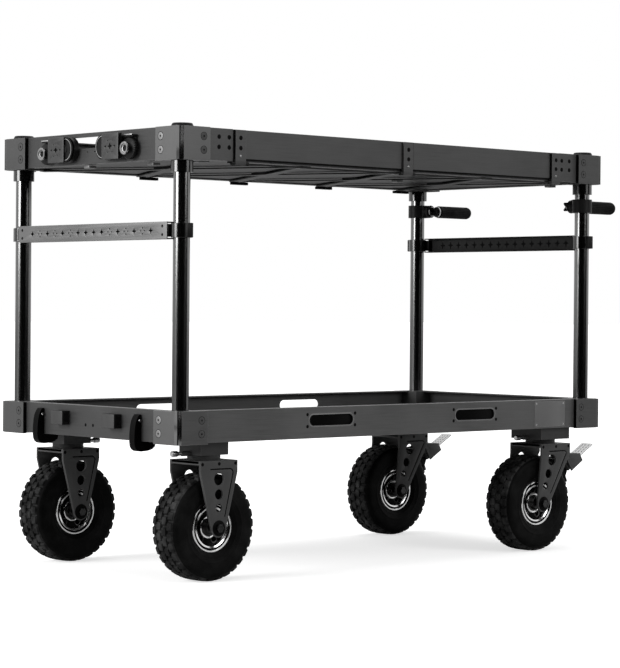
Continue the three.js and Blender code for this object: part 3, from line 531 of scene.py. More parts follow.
SKIN = 0.4 * MM
SKIN_EDGE = 0.1 * MM
SCREW_RISE = 0.5 * MM
# Painted shade: a dark ring round each screw head and a dark hexagon for its socket.
SCREW_RING_SHADE_SHARES = [(1.12, 0), (1.12, 0.4), (0.98, 0.4), (0.98, 0)]
SCREW_HEAD_SHARES = [(0, 0.2), (0.96, 0.2), (0.96, 0.6), (0.86, 1), (0, 1)]
SCREW_SOCKET_SHADE_SHARES = [(0, 0.9), (0.3, 0.9), (0.3, 1.2), (0, 1.2)]
DOME_SHARES = [(0, 0), (1, 0), (0.9, 0.7), (0.5, 1), (0, 1)]


def block(shape, centre, size, edge):
    """Adds a block with bevelled edges."""
    place = Matrix.Translation(centre) @ Matrix.Diagonal((*size, 1))
    made = bmesh.ops.create_cube(shape, size=1, matrix=place)
    edges = list({e for v in made["verts"] for e in v.link_edges})
    bmesh.ops.bevel(shape, geom=edges, offset=edge, segments=2, profile=0.5, affect="EDGES")


def screw(name, place, radius, head):
    """A countersunk screw: a flat head, with painted shade as a dark ring round it and a dark socket in it.
    """
    for part, material, slot, shares, segments in (
        ("rings", dark, "black_metal", SCREW_RING_SHADE_SHARES, 28),
        (head.name, head, "bright_steel", SCREW_HEAD_SHARES, 28),
        ("sockets", dark, "black_metal", SCREW_SOCKET_SHADE_SHARES, 6),
    ):
        shape = gather(f"{name}_{part}", material, slot=slot)
        turned(shape, scaled(shares, radius, SCREW_RISE), place, segments)


def dot(shape, place, radius, height=SKIN):
    """A small domed stud."""
    turned(shape, scaled(DOME_SHARES, radius, height), place, 20)


def star(reach, waist, at=(0, 0), points=4):
    """The outline of a star hole."""
    outline = []
    for step in range(2 * points):
        radius = waist if step % 2 else reach
        angle = math.pi * step / points + math.pi / 2
        outline.append((at[0] + radius * math.cos(angle), at[1] + radius * math.sin(angle)))
    return outline


# Corner brackets

BRACKET_HEIGHT = 79 * MM
BRACKET_LEG = 91 * MM
BRACKET_FACE = BRACKET_HEIGHT - 1 * MM
LEG_PROUD = 10 * MM
LEG_GAP = 0.5 * MM
CHAMFER = 9 * MM
STRIP_REACH = 12 * MM
STRIP_PROUD = 0.3 * MM
STRIP_EDGE = 2 * MM
SCREW_REACH = 72 * MM
SCREW_DROPS = (22 * MM, 54 * MM)
END_SCREW = 9 * MM
SIDE_SCREW = 8.5 * MM
COLLAR_RADIUS = 26.4 * MM
COLLAR_HEIGHT = 26.6 * MM
COLLAR_SHARES = [
    (0.7803, -0.0113), (1, -0.0113), (1, 1), (0.9773, 1), (0.9773, 0.0075), (0.7803, 0.0075),
]


def corner_strip(level, end, side, corner, mid_z):
    """A gloss black strip painted on the front left corner as shade, or the filling of another corner's
    chamfer.
    """
    if (end, side) == ("front", "left"):
        # Painted shade: only the front left corner gets the black strip.
        strip = gather(f"{level}_corner_strips", tube_gloss, slot="post_metal")
        reach, out = STRIP_REACH, STRIP_PROUD
    else:
        strip = gather(f"{level}_corner_edges", deck_x, slot="deck_metal")
        reach, out = CHAMFER, 0
    outline = [(out - STRIP_EDGE, out), (out, out - STRIP_EDGE), (out, -reach)]
    outline += [(-STRIP_EDGE, -reach), (-reach, -STRIP_EDGE), (-reach, out)]
    outline = [(corner[0] + ENDS[end] * across, corner[1] + SIDES[side] * up) for across, up in outline]
    plate(strip, [outline], BRACKET_FACE, SKIN_EDGE, Matrix.Translation((0, 0, mid_z)))


def bracket_end_shade(level, end, side, corner, mid_z):
    """Painted shade: dark sheets on the end faces of a bracket's two legs."""
    sx, sy = ENDS[end], SIDES[side]
    ends = gather(f"{level}_bracket_ends", dark)
    face = [rounded(LEG_PROUD - LEG_GAP, BRACKET_FACE, LEG_GAP)]
    at_side = (corner[0] - sx * LEG_PROUD / 2, corner[1] - sy * BRACKET_LEG, mid_z)
    at_end = (corner[0] - sx * BRACKET_LEG, corner[1] - sy * LEG_PROUD / 2, mid_z)
    plate(ends, face, SKIN, SKIN_EDGE, facing((0, -sy, 0), at_side))
    plate(ends, face, SKIN, SKIN_EDGE, facing((-sx, 0, 0), at_end))


def dress_bracket(level, end, side):
    """One bracket's corner strip, painted shade on its end faces, its screws, and the gloss collar under an
    upper one.
    """
    low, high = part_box(f"{level}_bracket_{end}_{side}")
    sx, sy = ENDS[end], SIDES[side]
    corner = (high.x if sx > 0 else low.x, high.y if sy > 0 else low.y)
    mid_z = high.z - BRACKET_HEIGHT / 2
    corner_strip(level, end, side, corner, mid_z)
    bracket_end_shade(level, end, side, corner, mid_z)
    for drop in SCREW_DROPS:
        on_end = facing((sx, 0, 0), (corner[0], corner[1] - sy * SCREW_REACH, high.z - drop))
        on_side = facing((0, sy, 0), (corner[0] - sx * SCREW_REACH, corner[1], high.z - drop))
        # Painted light: the left brackets' end screws get a pale head, the others the dark one they really
        # have.
        screw("end_screw", on_end, END_SCREW, pale if sy < 0 else fork_coat)
        screw("side_screw", on_side, SIDE_SCREW, fork_coat)
    if level == "upper":
        post = middle(f"post_{end}_{side}")
        sleeve = gather("collar_sleeves", collar_gloss, slot="post_metal")
        profile = scaled(COLLAR_SHARES, COLLAR_RADIUS, COLLAR_HEIGHT)
        turned(sleeve, profile, Matrix.Translation((post.x, post.y, low.z)), 64)


def dress_brackets():
    """The eight corner brackets."""
    for level in ("upper", "lower"):
        for end, side in CORNERS:
            dress_bracket(level, end, side)


# Side ledge

deck_middle = (middle("post_front_left").x + middle("post_rear_left").x) / 2
PAIR_HEIGHTS = (1052 * MM, 1028 * MM)
STRAP_PLACES = (-548 * MM, 6 * MM, 558 * MM)
STRAP_HALF = 16 * MM
RIVET_HEIGHT = 1009 * MM
PANEL_FOOT = 1000 * MM
PANEL_GAPS = (-12 * MM, 540 * MM)
PANEL_SPANS = ((-530 * MM, -14 * MM), (-10 * MM, 540 * MM))
FIXED_PLACES = (-610 * MM, -579 * MM, 587 * MM, 617 * MM)
PAIR_SCREW = 5.5 * MM
RIVET = 3 * MM
STUD = 0.3 * MM
SHADE_STRIP_GAP = 1 * MM
GAP_WIDE = 3 * MM
GAP_EDGE = 0.5 * MM
FOOT_LINE = 4 * MM
FOOT_RISE = 1.5 * MM
FRONT = (-1, 0, 0)
LEFT_OUT = (0, -1, 0)


def ledge_shade_lines(strap_face, face, top):
    """Painted shade: dark strips beside the straps, in the gaps between the panels and along their feet."""
    # Painted shade: dark sheets where the gaps and strap ends fall in shade.
    edges = gather("ledge_shade_strips", dark, "ledge")
    tall = top - PANEL_FOOT
    mid_z = (top + PANEL_FOOT) / 2
    strap_shade = [rounded(face - strap_face - SKIN, tall - SHADE_STRIP_GAP, STUD)]
    for strap in STRAP_PLACES:
        for way in WAYS:
            at = (deck_middle + strap + way * STRAP_HALF, (strap_face + face) / 2, mid_z)
            plate(edges, strap_shade, STUD, SKIN_EDGE, facing((way, 0, 0), at))
    line = [rounded(GAP_WIDE, tall - SHADE_STRIP_GAP, GAP_EDGE)]
    for gap in PANEL_GAPS:
        plate(edges, line, SKIN, SKIN_EDGE, facing(LEFT_OUT, (deck_middle + gap, face, mid_z)))
    for first, last in PANEL_SPANS:
        place = facing(LEFT_OUT, (deck_middle + (first + last) / 2, face, PANEL_FOOT + FOOT_RISE))
        plate(edges, [rounded(last - first, FOOT_LINE, GAP_EDGE)], SKIN, SKIN_EDGE, place)


def dress_ledge():
    """Strap screws and rivets, painted shade lines on the panels, and screws in the fixed plates."""
    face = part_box("upper_left_rail")[0].y
    low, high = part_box("folding_ledge")
    pairs = gather("ledge_screws", dark, "ledge")
    ledge_shade_lines(low.y, face, high.z)
    tips = gather("ledge_rivets", screw_metal, "ledge", "bright_steel")
    fixed = gather("fixed_plate_screws", dark)
    for z in PAIR_HEIGHTS:
        for x in STRAP_PLACES:
            dot(pairs, facing(LEFT_OUT, (deck_middle + x, low.y, z)), PAIR_SCREW, STUD)
        for x in FIXED_PLACES:
            dot(fixed, facing(LEFT_OUT, (deck_middle + x, face, z)), PAIR_SCREW, STUD)
    for x in STRAP_PLACES:
        dot(tips, facing(LEFT_OUT, (deck_middle + x, low.y, RIVET_HEIGHT)), RIVET, STUD)


# Accessory brackets

PLATE_WIDE, PLATE_TALL, PLATE_CORNER = 65 * MM, 62 * MM, 2 * MM
PLATE_THICK, PLATE_EDGE, PLATE_LIFT = 1.2 * MM, 0.2 * MM, 0.5 * MM
PLATE_ACROSS = 110 * MM
PLATE_STAR = (10 * MM, 4 * MM)
SMALL_STAR = (4.6 * MM, 1.9 * MM)
SMALL_STAR_REACH = 17.8 * MM
PIN_HOLE = 1.5 * MM
PIN_PLACES = (9 * MM, 14 * MM)
ROSETTE_ACROSS, ROSETTE_BACK = 77 * MM, 4 * MM
ROSETTE_RADIUS, ROSETTE_HEIGHT = 31 * MM, 2.4 * MM
ROSETTE_SHARES = [
    (0, 0), (0.9935, 0), (1, 0.25), (0.9677, 0.5833), (0.8903, 0.6667), (0.7903, 0.6667), (0.7419, 0.25),
    (0.2903, 0.25), (0.2581, 0.8333), (0.1613, 1), (0, 1),
]
ROSETTE_ARC_SHARES = [
    (0.8194, 0.625), (0.8645, 0.625), (0.8645, 0.8333), (0.8194, 0.8333),
]
LEVER_SIZE = (5 * MM, 30 * MM, 3 * MM)
LEVER_OFFSET = Vector((1.5 * MM, 0, 32.5 * MM))


def dress_accessories():
    """Drilled plates, rosettes with a silver arc, and lever bars on the accessory brackets."""
    outlines = [rounded(PLATE_WIDE, PLATE_TALL, PLATE_CORNER), star(*PLATE_STAR)]
    outlines += [star(*SMALL_STAR, (way * SMALL_STAR_REACH, 0)) for way in WAYS]
    outlines += [circle(PIN_HOLE, place, 12) for place in four(*PIN_PLACES)]
    for side, sy in SIDES.items():
        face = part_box(f"accessory_bracket_{side}")[0].x
        z = middle(f"accessory_bracket_{side}").z
        skin = gather("accessory_plates", deck_y, slot="deck_metal")
        at = facing(FRONT, (face - PLATE_LIFT, sy * PLATE_ACROSS, z))
        plate(skin, outlines, PLATE_THICK, PLATE_EDGE, at)
        place = facing(FRONT, (face + ROSETTE_BACK, sy * ROSETTE_ACROSS, z))
        rose = gather("rosettes", plastic, slot="knob_plastic")
        turned(rose, scaled(ROSETTE_SHARES, ROSETTE_RADIUS, ROSETTE_HEIGHT), place, 64)
        silver = gather("rosette_arcs", steel, slot="bright_steel")
        turned(silver, scaled(ROSETTE_ARC_SHARES, ROSETTE_RADIUS, ROSETTE_HEIGHT), place, 64)
        bar = gather("lever_bars", steel, slot="bright_steel")
        block(bar, middle(f"clamp_knob_{side}") + LEVER_OFFSET, LEVER_SIZE, SKIN)


KNOB_SHARES = [
    (0.1778, 0), (0.8889, 0), (0.963, 0.04), (0.9926, 0.1), (0.9926, 0.34), (0.963, 0.4), (0.8889, 0.44),
    (0.5556, 0.456), (0.4963, 0.5), (0.4667, 0.6), (0.4593, 0.76), (0.4815, 0.84), (0.4815, 0.856),
    (0.1778, 0.856),
]
KNOB_RING_SHARES = [
    (0.2778, 0.84), (0.5481, 0.84), (0.5704, 0.864), (0.5704, 0.968), (0.5407, 1), (0.4074, 1),
    (0.3778, 0.976), (0.3481, 0.896), (0.2778, 0.88),
]


def knob_knurl(index, angle):
    """How far the clamp wheel's knurled edge reaches at an angle."""
    return 1 - 0.045 * (0.5 + 0.5 * math.cos(angle * 30)) if 2 <= index <= 5 else 1


def make_clamp_knobs():
    """Knurled clamp wheels with a hub and a bright hollow ring."""
    for side in SIDES:
        name = f"clamp_knob_{side}"
        low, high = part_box(name)
        centre = middle(name)
        size = ((high.z - low.z) / 2, high.x - low.x)
        place = facing(FRONT, (high.x, centre.y, centre.z))
        shape = bmesh.new()
        turned(shape, scaled(KNOB_SHARES, *size), place, 240, knob_knurl)
        made = piece(f"knob_wheel_{side}", shape, plastic, f"knob_{side}")
        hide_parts(name)
        ring = gather(f"knob_ring_{side}", screw_metal, f"knob_{side}", "bright_steel")
        turned(ring, scaled(KNOB_RING_SHARES, *size), place, 64)


# Cross bars

BAR_HALF = 301 * MM
BAR_HEIGHT = 41 * MM
BAR_DEPTH = 22 * MM
BAR_WALL = 3 * MM
BAR_CORNER = 2 * MM
BAR_SETBACK = 1 * MM
BAR_EDGE = 0.5 * MM
FLANGE_EDGE = 0.6 * MM
BAR_PITCH = 32 * MM
BAR_PLACES = [(index - 7.5) * BAR_PITCH for index in range(16)]
HOLE_GROUPS = (1, 3, 5, 10, 12, 14)
GROUP_REACH, GROUP_HOLE = 7 * MM, 2.1 * MM
BAR_STAR = (9 * MM, 3.6 * MM)
BACK_STAR = (11 * MM, 4 * MM)
BACK_INSET, BACK_GAP = 4 * MM, 0.3 * MM
FRONT_BAR_DROP = 5 * MM
CLAMP_HEIGHT = 34 * MM
CLAMP_RADIUS = 25 * MM
CLAMP_SHARES = [
    (0.808, -1), (0.976, -1), (1, -0.9647), (1, 0.9647), (0.976, 1), (0.808, 1),
]
LUG_SIZE = (18 * MM, 11 * MM, CLAMP_HEIGHT)
LUG_ACROSS, LUG_EDGE = 27.5 * MM, 1.5 * MM
LINK_START, LINK_INSET, LINK_EDGE = 12 * MM, 5.5 * MM, 2.5 * MM
LINK_WIDE, LINK_TALL = 21 * MM, 30 * MM
BAR_SCREW, BAR_SCREW_RISE = 3.6 * MM, 0.5 * MM
BAR_SCREW_INSET, BAR_SCREW_UP = 17 * MM, 10 * MM


def bar_outlines():
    """The cross bar's face, with stars and small groups of four holes by turns, and stars in the middle."""
    outlines = [rounded(2 * BAR_HALF, BAR_HEIGHT, BAR_CORNER)]
    for index, across in enumerate(BAR_PLACES):
        if index in HOLE_GROUPS:
            for way, up in ((1, 0), (-1, 0), (0, 1), (0, -1)):
                outlines.append(circle(GROUP_HOLE, (across + way * GROUP_REACH, up * GROUP_REACH), 12))
        else:
            outlines.append(star(*BAR_STAR, (across, 0)))
    return outlines


def bar_channel(end, face, mid_z):
    """The drilled channel, and behind it a dark back, or a grey one with black stars at the rear."""
    sx = ENDS[end]
    shape = bmesh.new()
    plate(shape, bar_outlines(), BAR_WALL, BAR_EDGE, facing((sx, 0, 0), (face - sx * BAR_WALL / 2, 0, mid_z)))
    flange = (BAR_DEPTH - BAR_SETBACK, 2 * (BAR_HALF - BAR_WALL), BAR_WALL)
    for up in WAYS:
        at = (face - sx * (BAR_DEPTH + BAR_SETBACK) / 2, 0, mid_z + up * (BAR_HEIGHT - BAR_WALL) / 2)
        block(shape, at, flange, FLANGE_EDGE)
    metal = bar_metal if end == "front" else coat
    made = piece(f"{end}_bar_channel", shape, metal, "cart_frame")
    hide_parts(f"{end}_cross_bar")
    backing = gather("bar_backing", dark) if end == "front" else gather("bar_back", bar_back)
    x = face - sx * (BAR_WALL + BACK_GAP)
    outline = rounded(2 * (BAR_HALF - BACK_INSET), BAR_HEIGHT - 2 * BACK_INSET + BAR_SETBACK, BAR_SETBACK)
    plate(backing, [outline], FLANGE_EDGE, SKIN_EDGE, facing((sx, 0, 0), (x, 0, mid_z)))
    if end == "rear":
        marks = gather("bar_back_marks", dark)
        for across in BAR_PLACES:
            place = facing((-sx, 0, 0), (x - sx * SKIN, across, mid_z))
            plate(marks, [star(*BACK_STAR)], SKIN, SKIN_EDGE, place)


def bar_joint(end, side, face, mid_z):
    """A gloss clamp round the post with its lug, and a link with two screws to the bar."""
    sx, sy = ENDS[end], SIDES[side]
    post = middle(f"post_{end}_{side}")
    clamps = gather("bar_clamps", collar_gloss, slot="post_metal")
    ring = scaled(CLAMP_SHARES, CLAMP_RADIUS, CLAMP_HEIGHT / 2)
    turned(clamps, ring, Matrix.Translation((post.x, post.y, mid_z)), 64)
    lugs = gather("bar_clamp_lugs", coat)
    block(lugs, (post.x, post.y + sy * LUG_ACROSS, mid_z), LUG_SIZE, LUG_EDGE)
    links = gather("bar_links", dark)
    near, far = post.x + sx * LINK_START, face - sx * FLANGE_EDGE
    at = ((near + far) / 2, sy * (BAR_HALF - LINK_INSET), mid_z)
    block(links, at, (abs(far - near), LINK_WIDE, LINK_TALL), LINK_EDGE)
    for up in WAYS:
        at = (face, sy * (BAR_HALF - BAR_SCREW_INSET), mid_z + up * BAR_SCREW_UP)
        dot(gather("bar_screws", dark), facing((sx, 0, 0), at), BAR_SCREW, BAR_SCREW_RISE)


def dress_cross_bars():
    """The cross bars, each clamped to two posts."""
    for end, sx in ENDS.items():
        low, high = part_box(f"{end}_cross_bar")
        face = high.x if sx > 0 else low.x
        mid_z = (low.z + high.z) / 2 - (FRONT_BAR_DROP if end == "front" else 0)
        bar_channel(end, face, mid_z)
        for side in SIDES:
            bar_joint(end, side, face, mid_z)


# Push handles

HANDLE_REACH = 176 * MM
GRIP_START, GRIP_END_GAP = 34 * MM, 8 * MM
GRIP_SKIN = 0.5 * MM
GRIP_LEAD, GRIP_TAIL = 4 * MM, 16 * MM
GRIP_SHARES = [
    (0, 0), (0.7429, 0), (0.8857, 0.25), (1, 1),
]
HUB_RADIUS, HUB_HALF = 18 * MM, 8 * MM
HUB_SHARES = [
    (0.2722, -1), (0.9167, -1), (1, -0.875), (1, -0.5), (0.9333, -0.425), (0.9333, 0.425), (1, 0.5),
    (1, 0.875), (0.9167, 1), (0.2722, 1),
]
NECK_RADIUS, NECK_LENGTH = 9.6 * MM, 36 * MM
NECK_SHARES = [
    (0, 0.25), (0.8333, 0.25), (0.8333, 0.7222), (1, 0.7778), (1, 1), (0, 1),
]
NECK_COLLAR = 15.5 * MM
NECK_COLLAR_SHARES = [
    (0.6065, 0.7917), (0.9355, 0.7917), (1, 0.8194), (1, 0.9167), (0.9355, 0.9417), (0.6065, 0.9417),
]
ROSE_RADIUS, ROSE_HEIGHT = 14 * MM, 2.2 * MM
ROSE_SHARES = [
    (0, 0), (1, 0), (1, 0.6818), (0.9286, 1), (0, 1),
]
CROSS_LONG, CROSS_WIDE, CROSS_CORNER = 30 * MM, 6 * MM, 2 * MM
CROSS_THICK, CROSS_EDGE, CROSS_LIFT = 10 * MM, 0.8 * MM, 7 * MM


def flute(index, angle):
    """How far the grip's fluted surface reaches at an angle."""
    return 1 - 0.07 * (0.5 + 0.5 * math.cos(angle * 20)) ** 3 if 3 < index < 15 else 1


def hub_teeth(index, angle):
    """How far the hub's toothed waist reaches at an angle."""
    return 1 - 0.04 * (math.sin(angle * 16) > 0) if index in (4, 5) else 1


def grip_profile(radius, length):
    """A short lead, a straight length in eight steps and a round end in ten."""
    straight = length - GRIP_LEAD - GRIP_TAIL
    profile = scaled(GRIP_SHARES, radius, GRIP_LEAD)
    profile += [(radius, GRIP_LEAD + straight * step / 8) for step in range(1, 9)]
    for step in range(1, 10):
        angle = math.pi / 2 * step / 10
        profile.append((radius * math.cos(angle), length - GRIP_TAIL + GRIP_TAIL * math.sin(angle)))
    return profile + [(0, length)]


def make_handle(side, body, pivot, radius):
    """The fluted grip, the toothed hub with its neck, and a bright collar."""
    name = f"push_handle_{side}"
    outwards = facing((1, 0, 0), pivot)
    shape = bmesh.new()
    profile = grip_profile(radius, HANDLE_REACH - GRIP_START - GRIP_END_GAP)
    turned(shape, profile, moved(outwards, GRIP_START), 160, flute)
    made = piece(f"fluted_grip_{side}", shape, grip, body)
    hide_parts(name)
    hub = bmesh.new()
    turned(hub, scaled(HUB_SHARES, HUB_RADIUS, HUB_HALF), facing(ALONG_Y, pivot), 96, hub_teeth)
    turned(hub, scaled(NECK_SHARES, NECK_RADIUS, NECK_LENGTH), outwards, 40)
    piece(f"handle_hub_{side}", hub, coat, body)
    bright = gather(f"handle_collar_{side}", steel, body, "bright_steel")
    turned(bright, scaled(NECK_COLLAR_SHARES, NECK_COLLAR, NECK_LENGTH), outwards, 48)


def make_handles():
    """Push handles, and a silver rose with a black cross on each handle clamp's inner side."""
    for side, sy in SIDES.items():
        low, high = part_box(f"push_handle_{side}")
        centre = (low + high) / 2
        pivot = Vector((high.x - HANDLE_REACH, centre.y, centre.z))
        make_handle(side, f"handle_{side}", pivot, (high.z - low.z) / 2 - GRIP_SKIN)
        clamp_low, clamp_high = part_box(f"handle_clamp_{side}")
        inner = clamp_high.y if sy < 0 else clamp_low.y
        inwards = facing((0, -sy, 0), (pivot.x, inner, pivot.z))
        rose = gather("handle_roses", steel, slot="bright_steel")
        turned(rose, scaled(ROSE_SHARES, ROSE_RADIUS, ROSE_HEIGHT), inwards, 48)
        cross = gather("handle_rose_crosses", dark)
        for eighth in (1, 3):
            arm = moved(inwards, CROSS_LIFT) @ Matrix.Rotation(eighth * FULL_TURN / 8, 4, "Z")
            plate(cross, [rounded(CROSS_LONG, CROSS_WIDE, CROSS_CORNER)], CROSS_THICK, CROSS_EDGE, arm)


# Lower rails

GRIP_SLOTS = (-245 * MM, 261 * MM)
GRIP_SLOT_Z = 377 * MM
BEZEL = (151 * MM, 33 * MM, 16 * MM, 8)
BEZEL_OPENING = (145 * MM, 27 * MM, 13.4 * MM, 8)
BEZEL_THICK, BEZEL_EDGE, BEZEL_SCREW = 0.8 * MM, 0.2 * MM, 4.2 * MM
BEZEL_SCREW_PLACES = (79 * MM, 14.5 * MM)
SLOT_SHADE = (156 * MM, 38 * MM, 6 * MM)
SLOT_SHADE_THICK, SLOT_SHADE_BACK = 1 * MM, 3.6 * MM
NAME_PLACE, NAME_Z = 549 * MM, 371 * MM
NAME_SIZE = (119 * MM, 68 * MM, 2 * MM)
NAME_THICK, NAME_EDGE = 1 * MM, 0.3 * MM
NAME_SCREW, NAME_SCREW_PLACES = 2.8 * MM, (53 * MM, 28 * MM)
TIE_HOLE, TIE_ACROSS, TIE_DROP, TIE_RISE = 4 * MM, 15 * MM, 47 * MM, 0.2 * MM
REST_FRAME, REST_CORNER = (2 * MM, 1 * MM), 2 * MM
HOOK_PIN, HOOK_PIN_RISE = 3.4 * MM, 1 * MM
HOOK_PIN_BACK, HOOK_PIN_DROP = 49.6 * MM, 15 * MM


def slot_bezels(side, sy):
    """Bezels with four screws round a rail's grip slots, and dark sheets of painted shade behind the left
    ones.
    """
    out = (0, sy, 0)
    low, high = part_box(f"lower_{side}_rail")
    bezels = gather("slot_bezels", plate_metal, slot="deck_metal")
    for x in GRIP_SLOTS:
        at = Vector((deck_middle + x, high.y if sy > 0 else low.y, GRIP_SLOT_Z))
        plate(bezels, [rounded(*BEZEL), rounded(*BEZEL_OPENING)], BEZEL_THICK, BEZEL_EDGE, facing(out, at))
        for across, up in four(*BEZEL_SCREW_PLACES):
            dot(gather("bezel_screws", dark), facing(out, at + Vector((across, 0, up))), BEZEL_SCREW)
        # Painted shade: a dark sheet behind each left slot for the shaded inside of the rail.
        if side == "left":
            place = facing(out, at - SLOT_SHADE_BACK * Vector(out))
            plate(gather("slot_shade_sheets", dark), [rounded(*SLOT_SHADE)], SLOT_SHADE_THICK, BEZEL_EDGE, place)


def make_name_plate():
    """A bare plate with four screws on the left rail."""
    at = Vector((deck_middle + NAME_PLACE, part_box("lower_left_rail")[0].y, NAME_Z))
    name_plate = gather("name_plate", plate_metal, slot="deck_metal")
    plate(name_plate, [rounded(*NAME_SIZE)], NAME_THICK, NAME_EDGE, facing(LEFT_OUT, at))
    screws = gather("name_plate_screws", steel, slot="bright_steel")
    for across, up in four(*NAME_SCREW_PLACES):
        dot(screws, facing(LEFT_OUT, at + Vector((across, -NAME_THICK / 2, up))), NAME_SCREW)


def dress_lower_rails():
    """Slot bezels and a name plate on the long rails. In front, painted shade in the tie holes, block faces
    and hook pins.
    """
    for side, sy in SIDES.items():
        slot_bezels(side, sy)
    make_name_plate()
    low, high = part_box("lower_front_rail")
    for way in WAYS:
        place = facing(FRONT, (low.x, way * TIE_ACROSS, high.z - TIE_DROP))
        # Painted shade: a dark disc for the shaded inside of each tie hole.
        dot(gather("tie_hole_shades", dark), place, TIE_HOLE, TIE_RISE)
    for side in SIDES:
        low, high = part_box(f"rest_block_{side}")
        faces = gather("rest_block_faces", deck_y, slot="deck_metal")
        wide, tall = high.y - low.y - REST_FRAME[0], high.z - low.z - REST_FRAME[1]
        centre = (low + high) / 2
        place = facing(FRONT, (low.x, centre.y, centre.z))
        plate(faces, [rounded(wide, tall, REST_CORNER)], NAME_THICK, NAME_EDGE, place)
        low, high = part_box(f"cable_hook_{side}")
        pins = gather("hook_pins", steel, slot="bright_steel")
        for way, y in ((-1, low.y), (1, high.y)):
            at = (high.x - HOOK_PIN_BACK, y, high.z - HOOK_PIN_DROP)
            dot(pins, facing((0, way, 0), at), HOOK_PIN, HOOK_PIN_RISE)


# Underside of the upper deck

BRACE_PITCH, BRACE_ACROSS = 320 * MM, 300 * MM
BRACE_RIVET, BRACE_RIVET_RISE = 5 * MM, 0.6 * MM
LATCH_SIZE, LATCH_DROP = (22 * MM, 22 * MM, 6.5 * MM), 2.75 * MM
LATCH_PLACES = ((-712 * MM, 23 * MM), (-684 * MM, -193 * MM), (664 * MM, -235 * MM), (214 * MM, -95 * MM))
TAB_SIZE, TAB_DROP = (56 * MM, 12 * MM, 7.5 * MM), 3.25 * MM
TAB_PLACES, TAB_ACROSS = (-298 * MM, 15 * MM, 328 * MM, 632 * MM), 322 * MM
UNDER_EDGE = 1 * MM


def dress_underside():
    """Latches, bracing tabs and rivets under the upper deck."""
    low_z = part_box("upper_pan")[0].z
    rivets = gather("brace_rivets", screw_metal, slot="bright_steel")
    for bay in range(-2, 3):
        for way in WAYS:
            at = (deck_middle + bay * BRACE_PITCH, way * BRACE_ACROSS, low_z)
            dot(rivets, facing((0, 0, -1), at), BRACE_RIVET, BRACE_RIVET_RISE)
    latches = gather("deck_latches", plate_metal, slot="deck_metal")
    for x, y in LATCH_PLACES:
        block(latches, (deck_middle + x, y, low_z - LATCH_DROP), LATCH_SIZE, UNDER_EDGE)
    tabs = gather("bracing_tabs", dark)
    for x in TAB_PLACES:
        block(tabs, (deck_middle + x, TAB_ACROSS, low_z - TAB_DROP), TAB_SIZE, UNDER_EDGE)


# Wheels

LUGS = 31
LUG_STEPS = 8
LUG_SHARE = 0.7
LUG_RISE = 5 * MM
LUG_LIP = 0.5 * MM
ROW_EDGES = [(-35 * MM, -21 * MM), (-17 * MM, -2 * MM), (2 * MM, 17 * MM), (21 * MM, 35 * MM)]
CROWN_EDGE = 39 * MM
WIDEST_RADIUS = 92 * MM
BEAD_RADIUS = 61 * MM
BEAD_STEPS = ((4 * MM, 4 * MM), (6 * MM, 9 * MM))
WALL_RIDGE = 0.8 * MM
RIDGE_STEPS = (4, 5, 11)
RIM_HALF = 34 * MM
CROWN_POWER = 4.5
WALL_POWER = 2.2


def crown_radius(across, half_width, crown):
    """The tyre's radius at a distance from its middle plane, outside its widest place."""
    share = 1 - (abs(across) / half_width) ** CROWN_POWER
    return WIDEST_RADIUS + (crown - WIDEST_RADIUS) * max(share, 0) ** (1 / CROWN_POWER)


def tyre_wall(half_width, crown):
    """One side of the tyre's section as (across, radius, row), from the crown's edge to the bead."""
    side = []
    for step in range(1, 8):
        across = CROWN_EDGE + (half_width - CROWN_EDGE) * math.sin(step / 7 * math.pi / 2)
        side.append((across, crown_radius(across, half_width, crown), None))
    wall = WIDEST_RADIUS - BEAD_RADIUS
    bead_share = (RIM_HALF / half_width) ** WALL_POWER
    depth = wall / (1 - bead_share) ** (1 / WALL_POWER)
    for step in range(1, 17):
        fall = wall * step / 16
        across = half_width * (1 - (fall / depth) ** WALL_POWER) ** (1 / WALL_POWER)
        side.append((across + (WALL_RIDGE if step in RIDGE_STEPS else 0), WIDEST_RADIUS - fall, None))
    return side + [(RIM_HALF - inwards, BEAD_RADIUS - down, None) for inwards, down in BEAD_STEPS]


def tyre_profile(half_width, crown):
    """The tyre's section as (across, radius, row), round from one bead over the crown to the other."""
    flat = [(-CROWN_EDGE, None)]
    for row, (start, end) in enumerate(ROW_EDGES):
        flat += [(start - LUG_LIP, None), (start + LUG_LIP, row), ((start + end) / 2, row)]
        flat += [(end - LUG_LIP, row), (end + LUG_LIP, None)]
    flat.append((CROWN_EDGE, None))
    top = [(across, crown_radius(across, half_width, crown), row) for across, row in flat]
    side = tyre_wall(half_width, crown)
    mirrored = [(-across, radius, row) for across, radius, row in reversed(side)]
    return mirrored + top + side


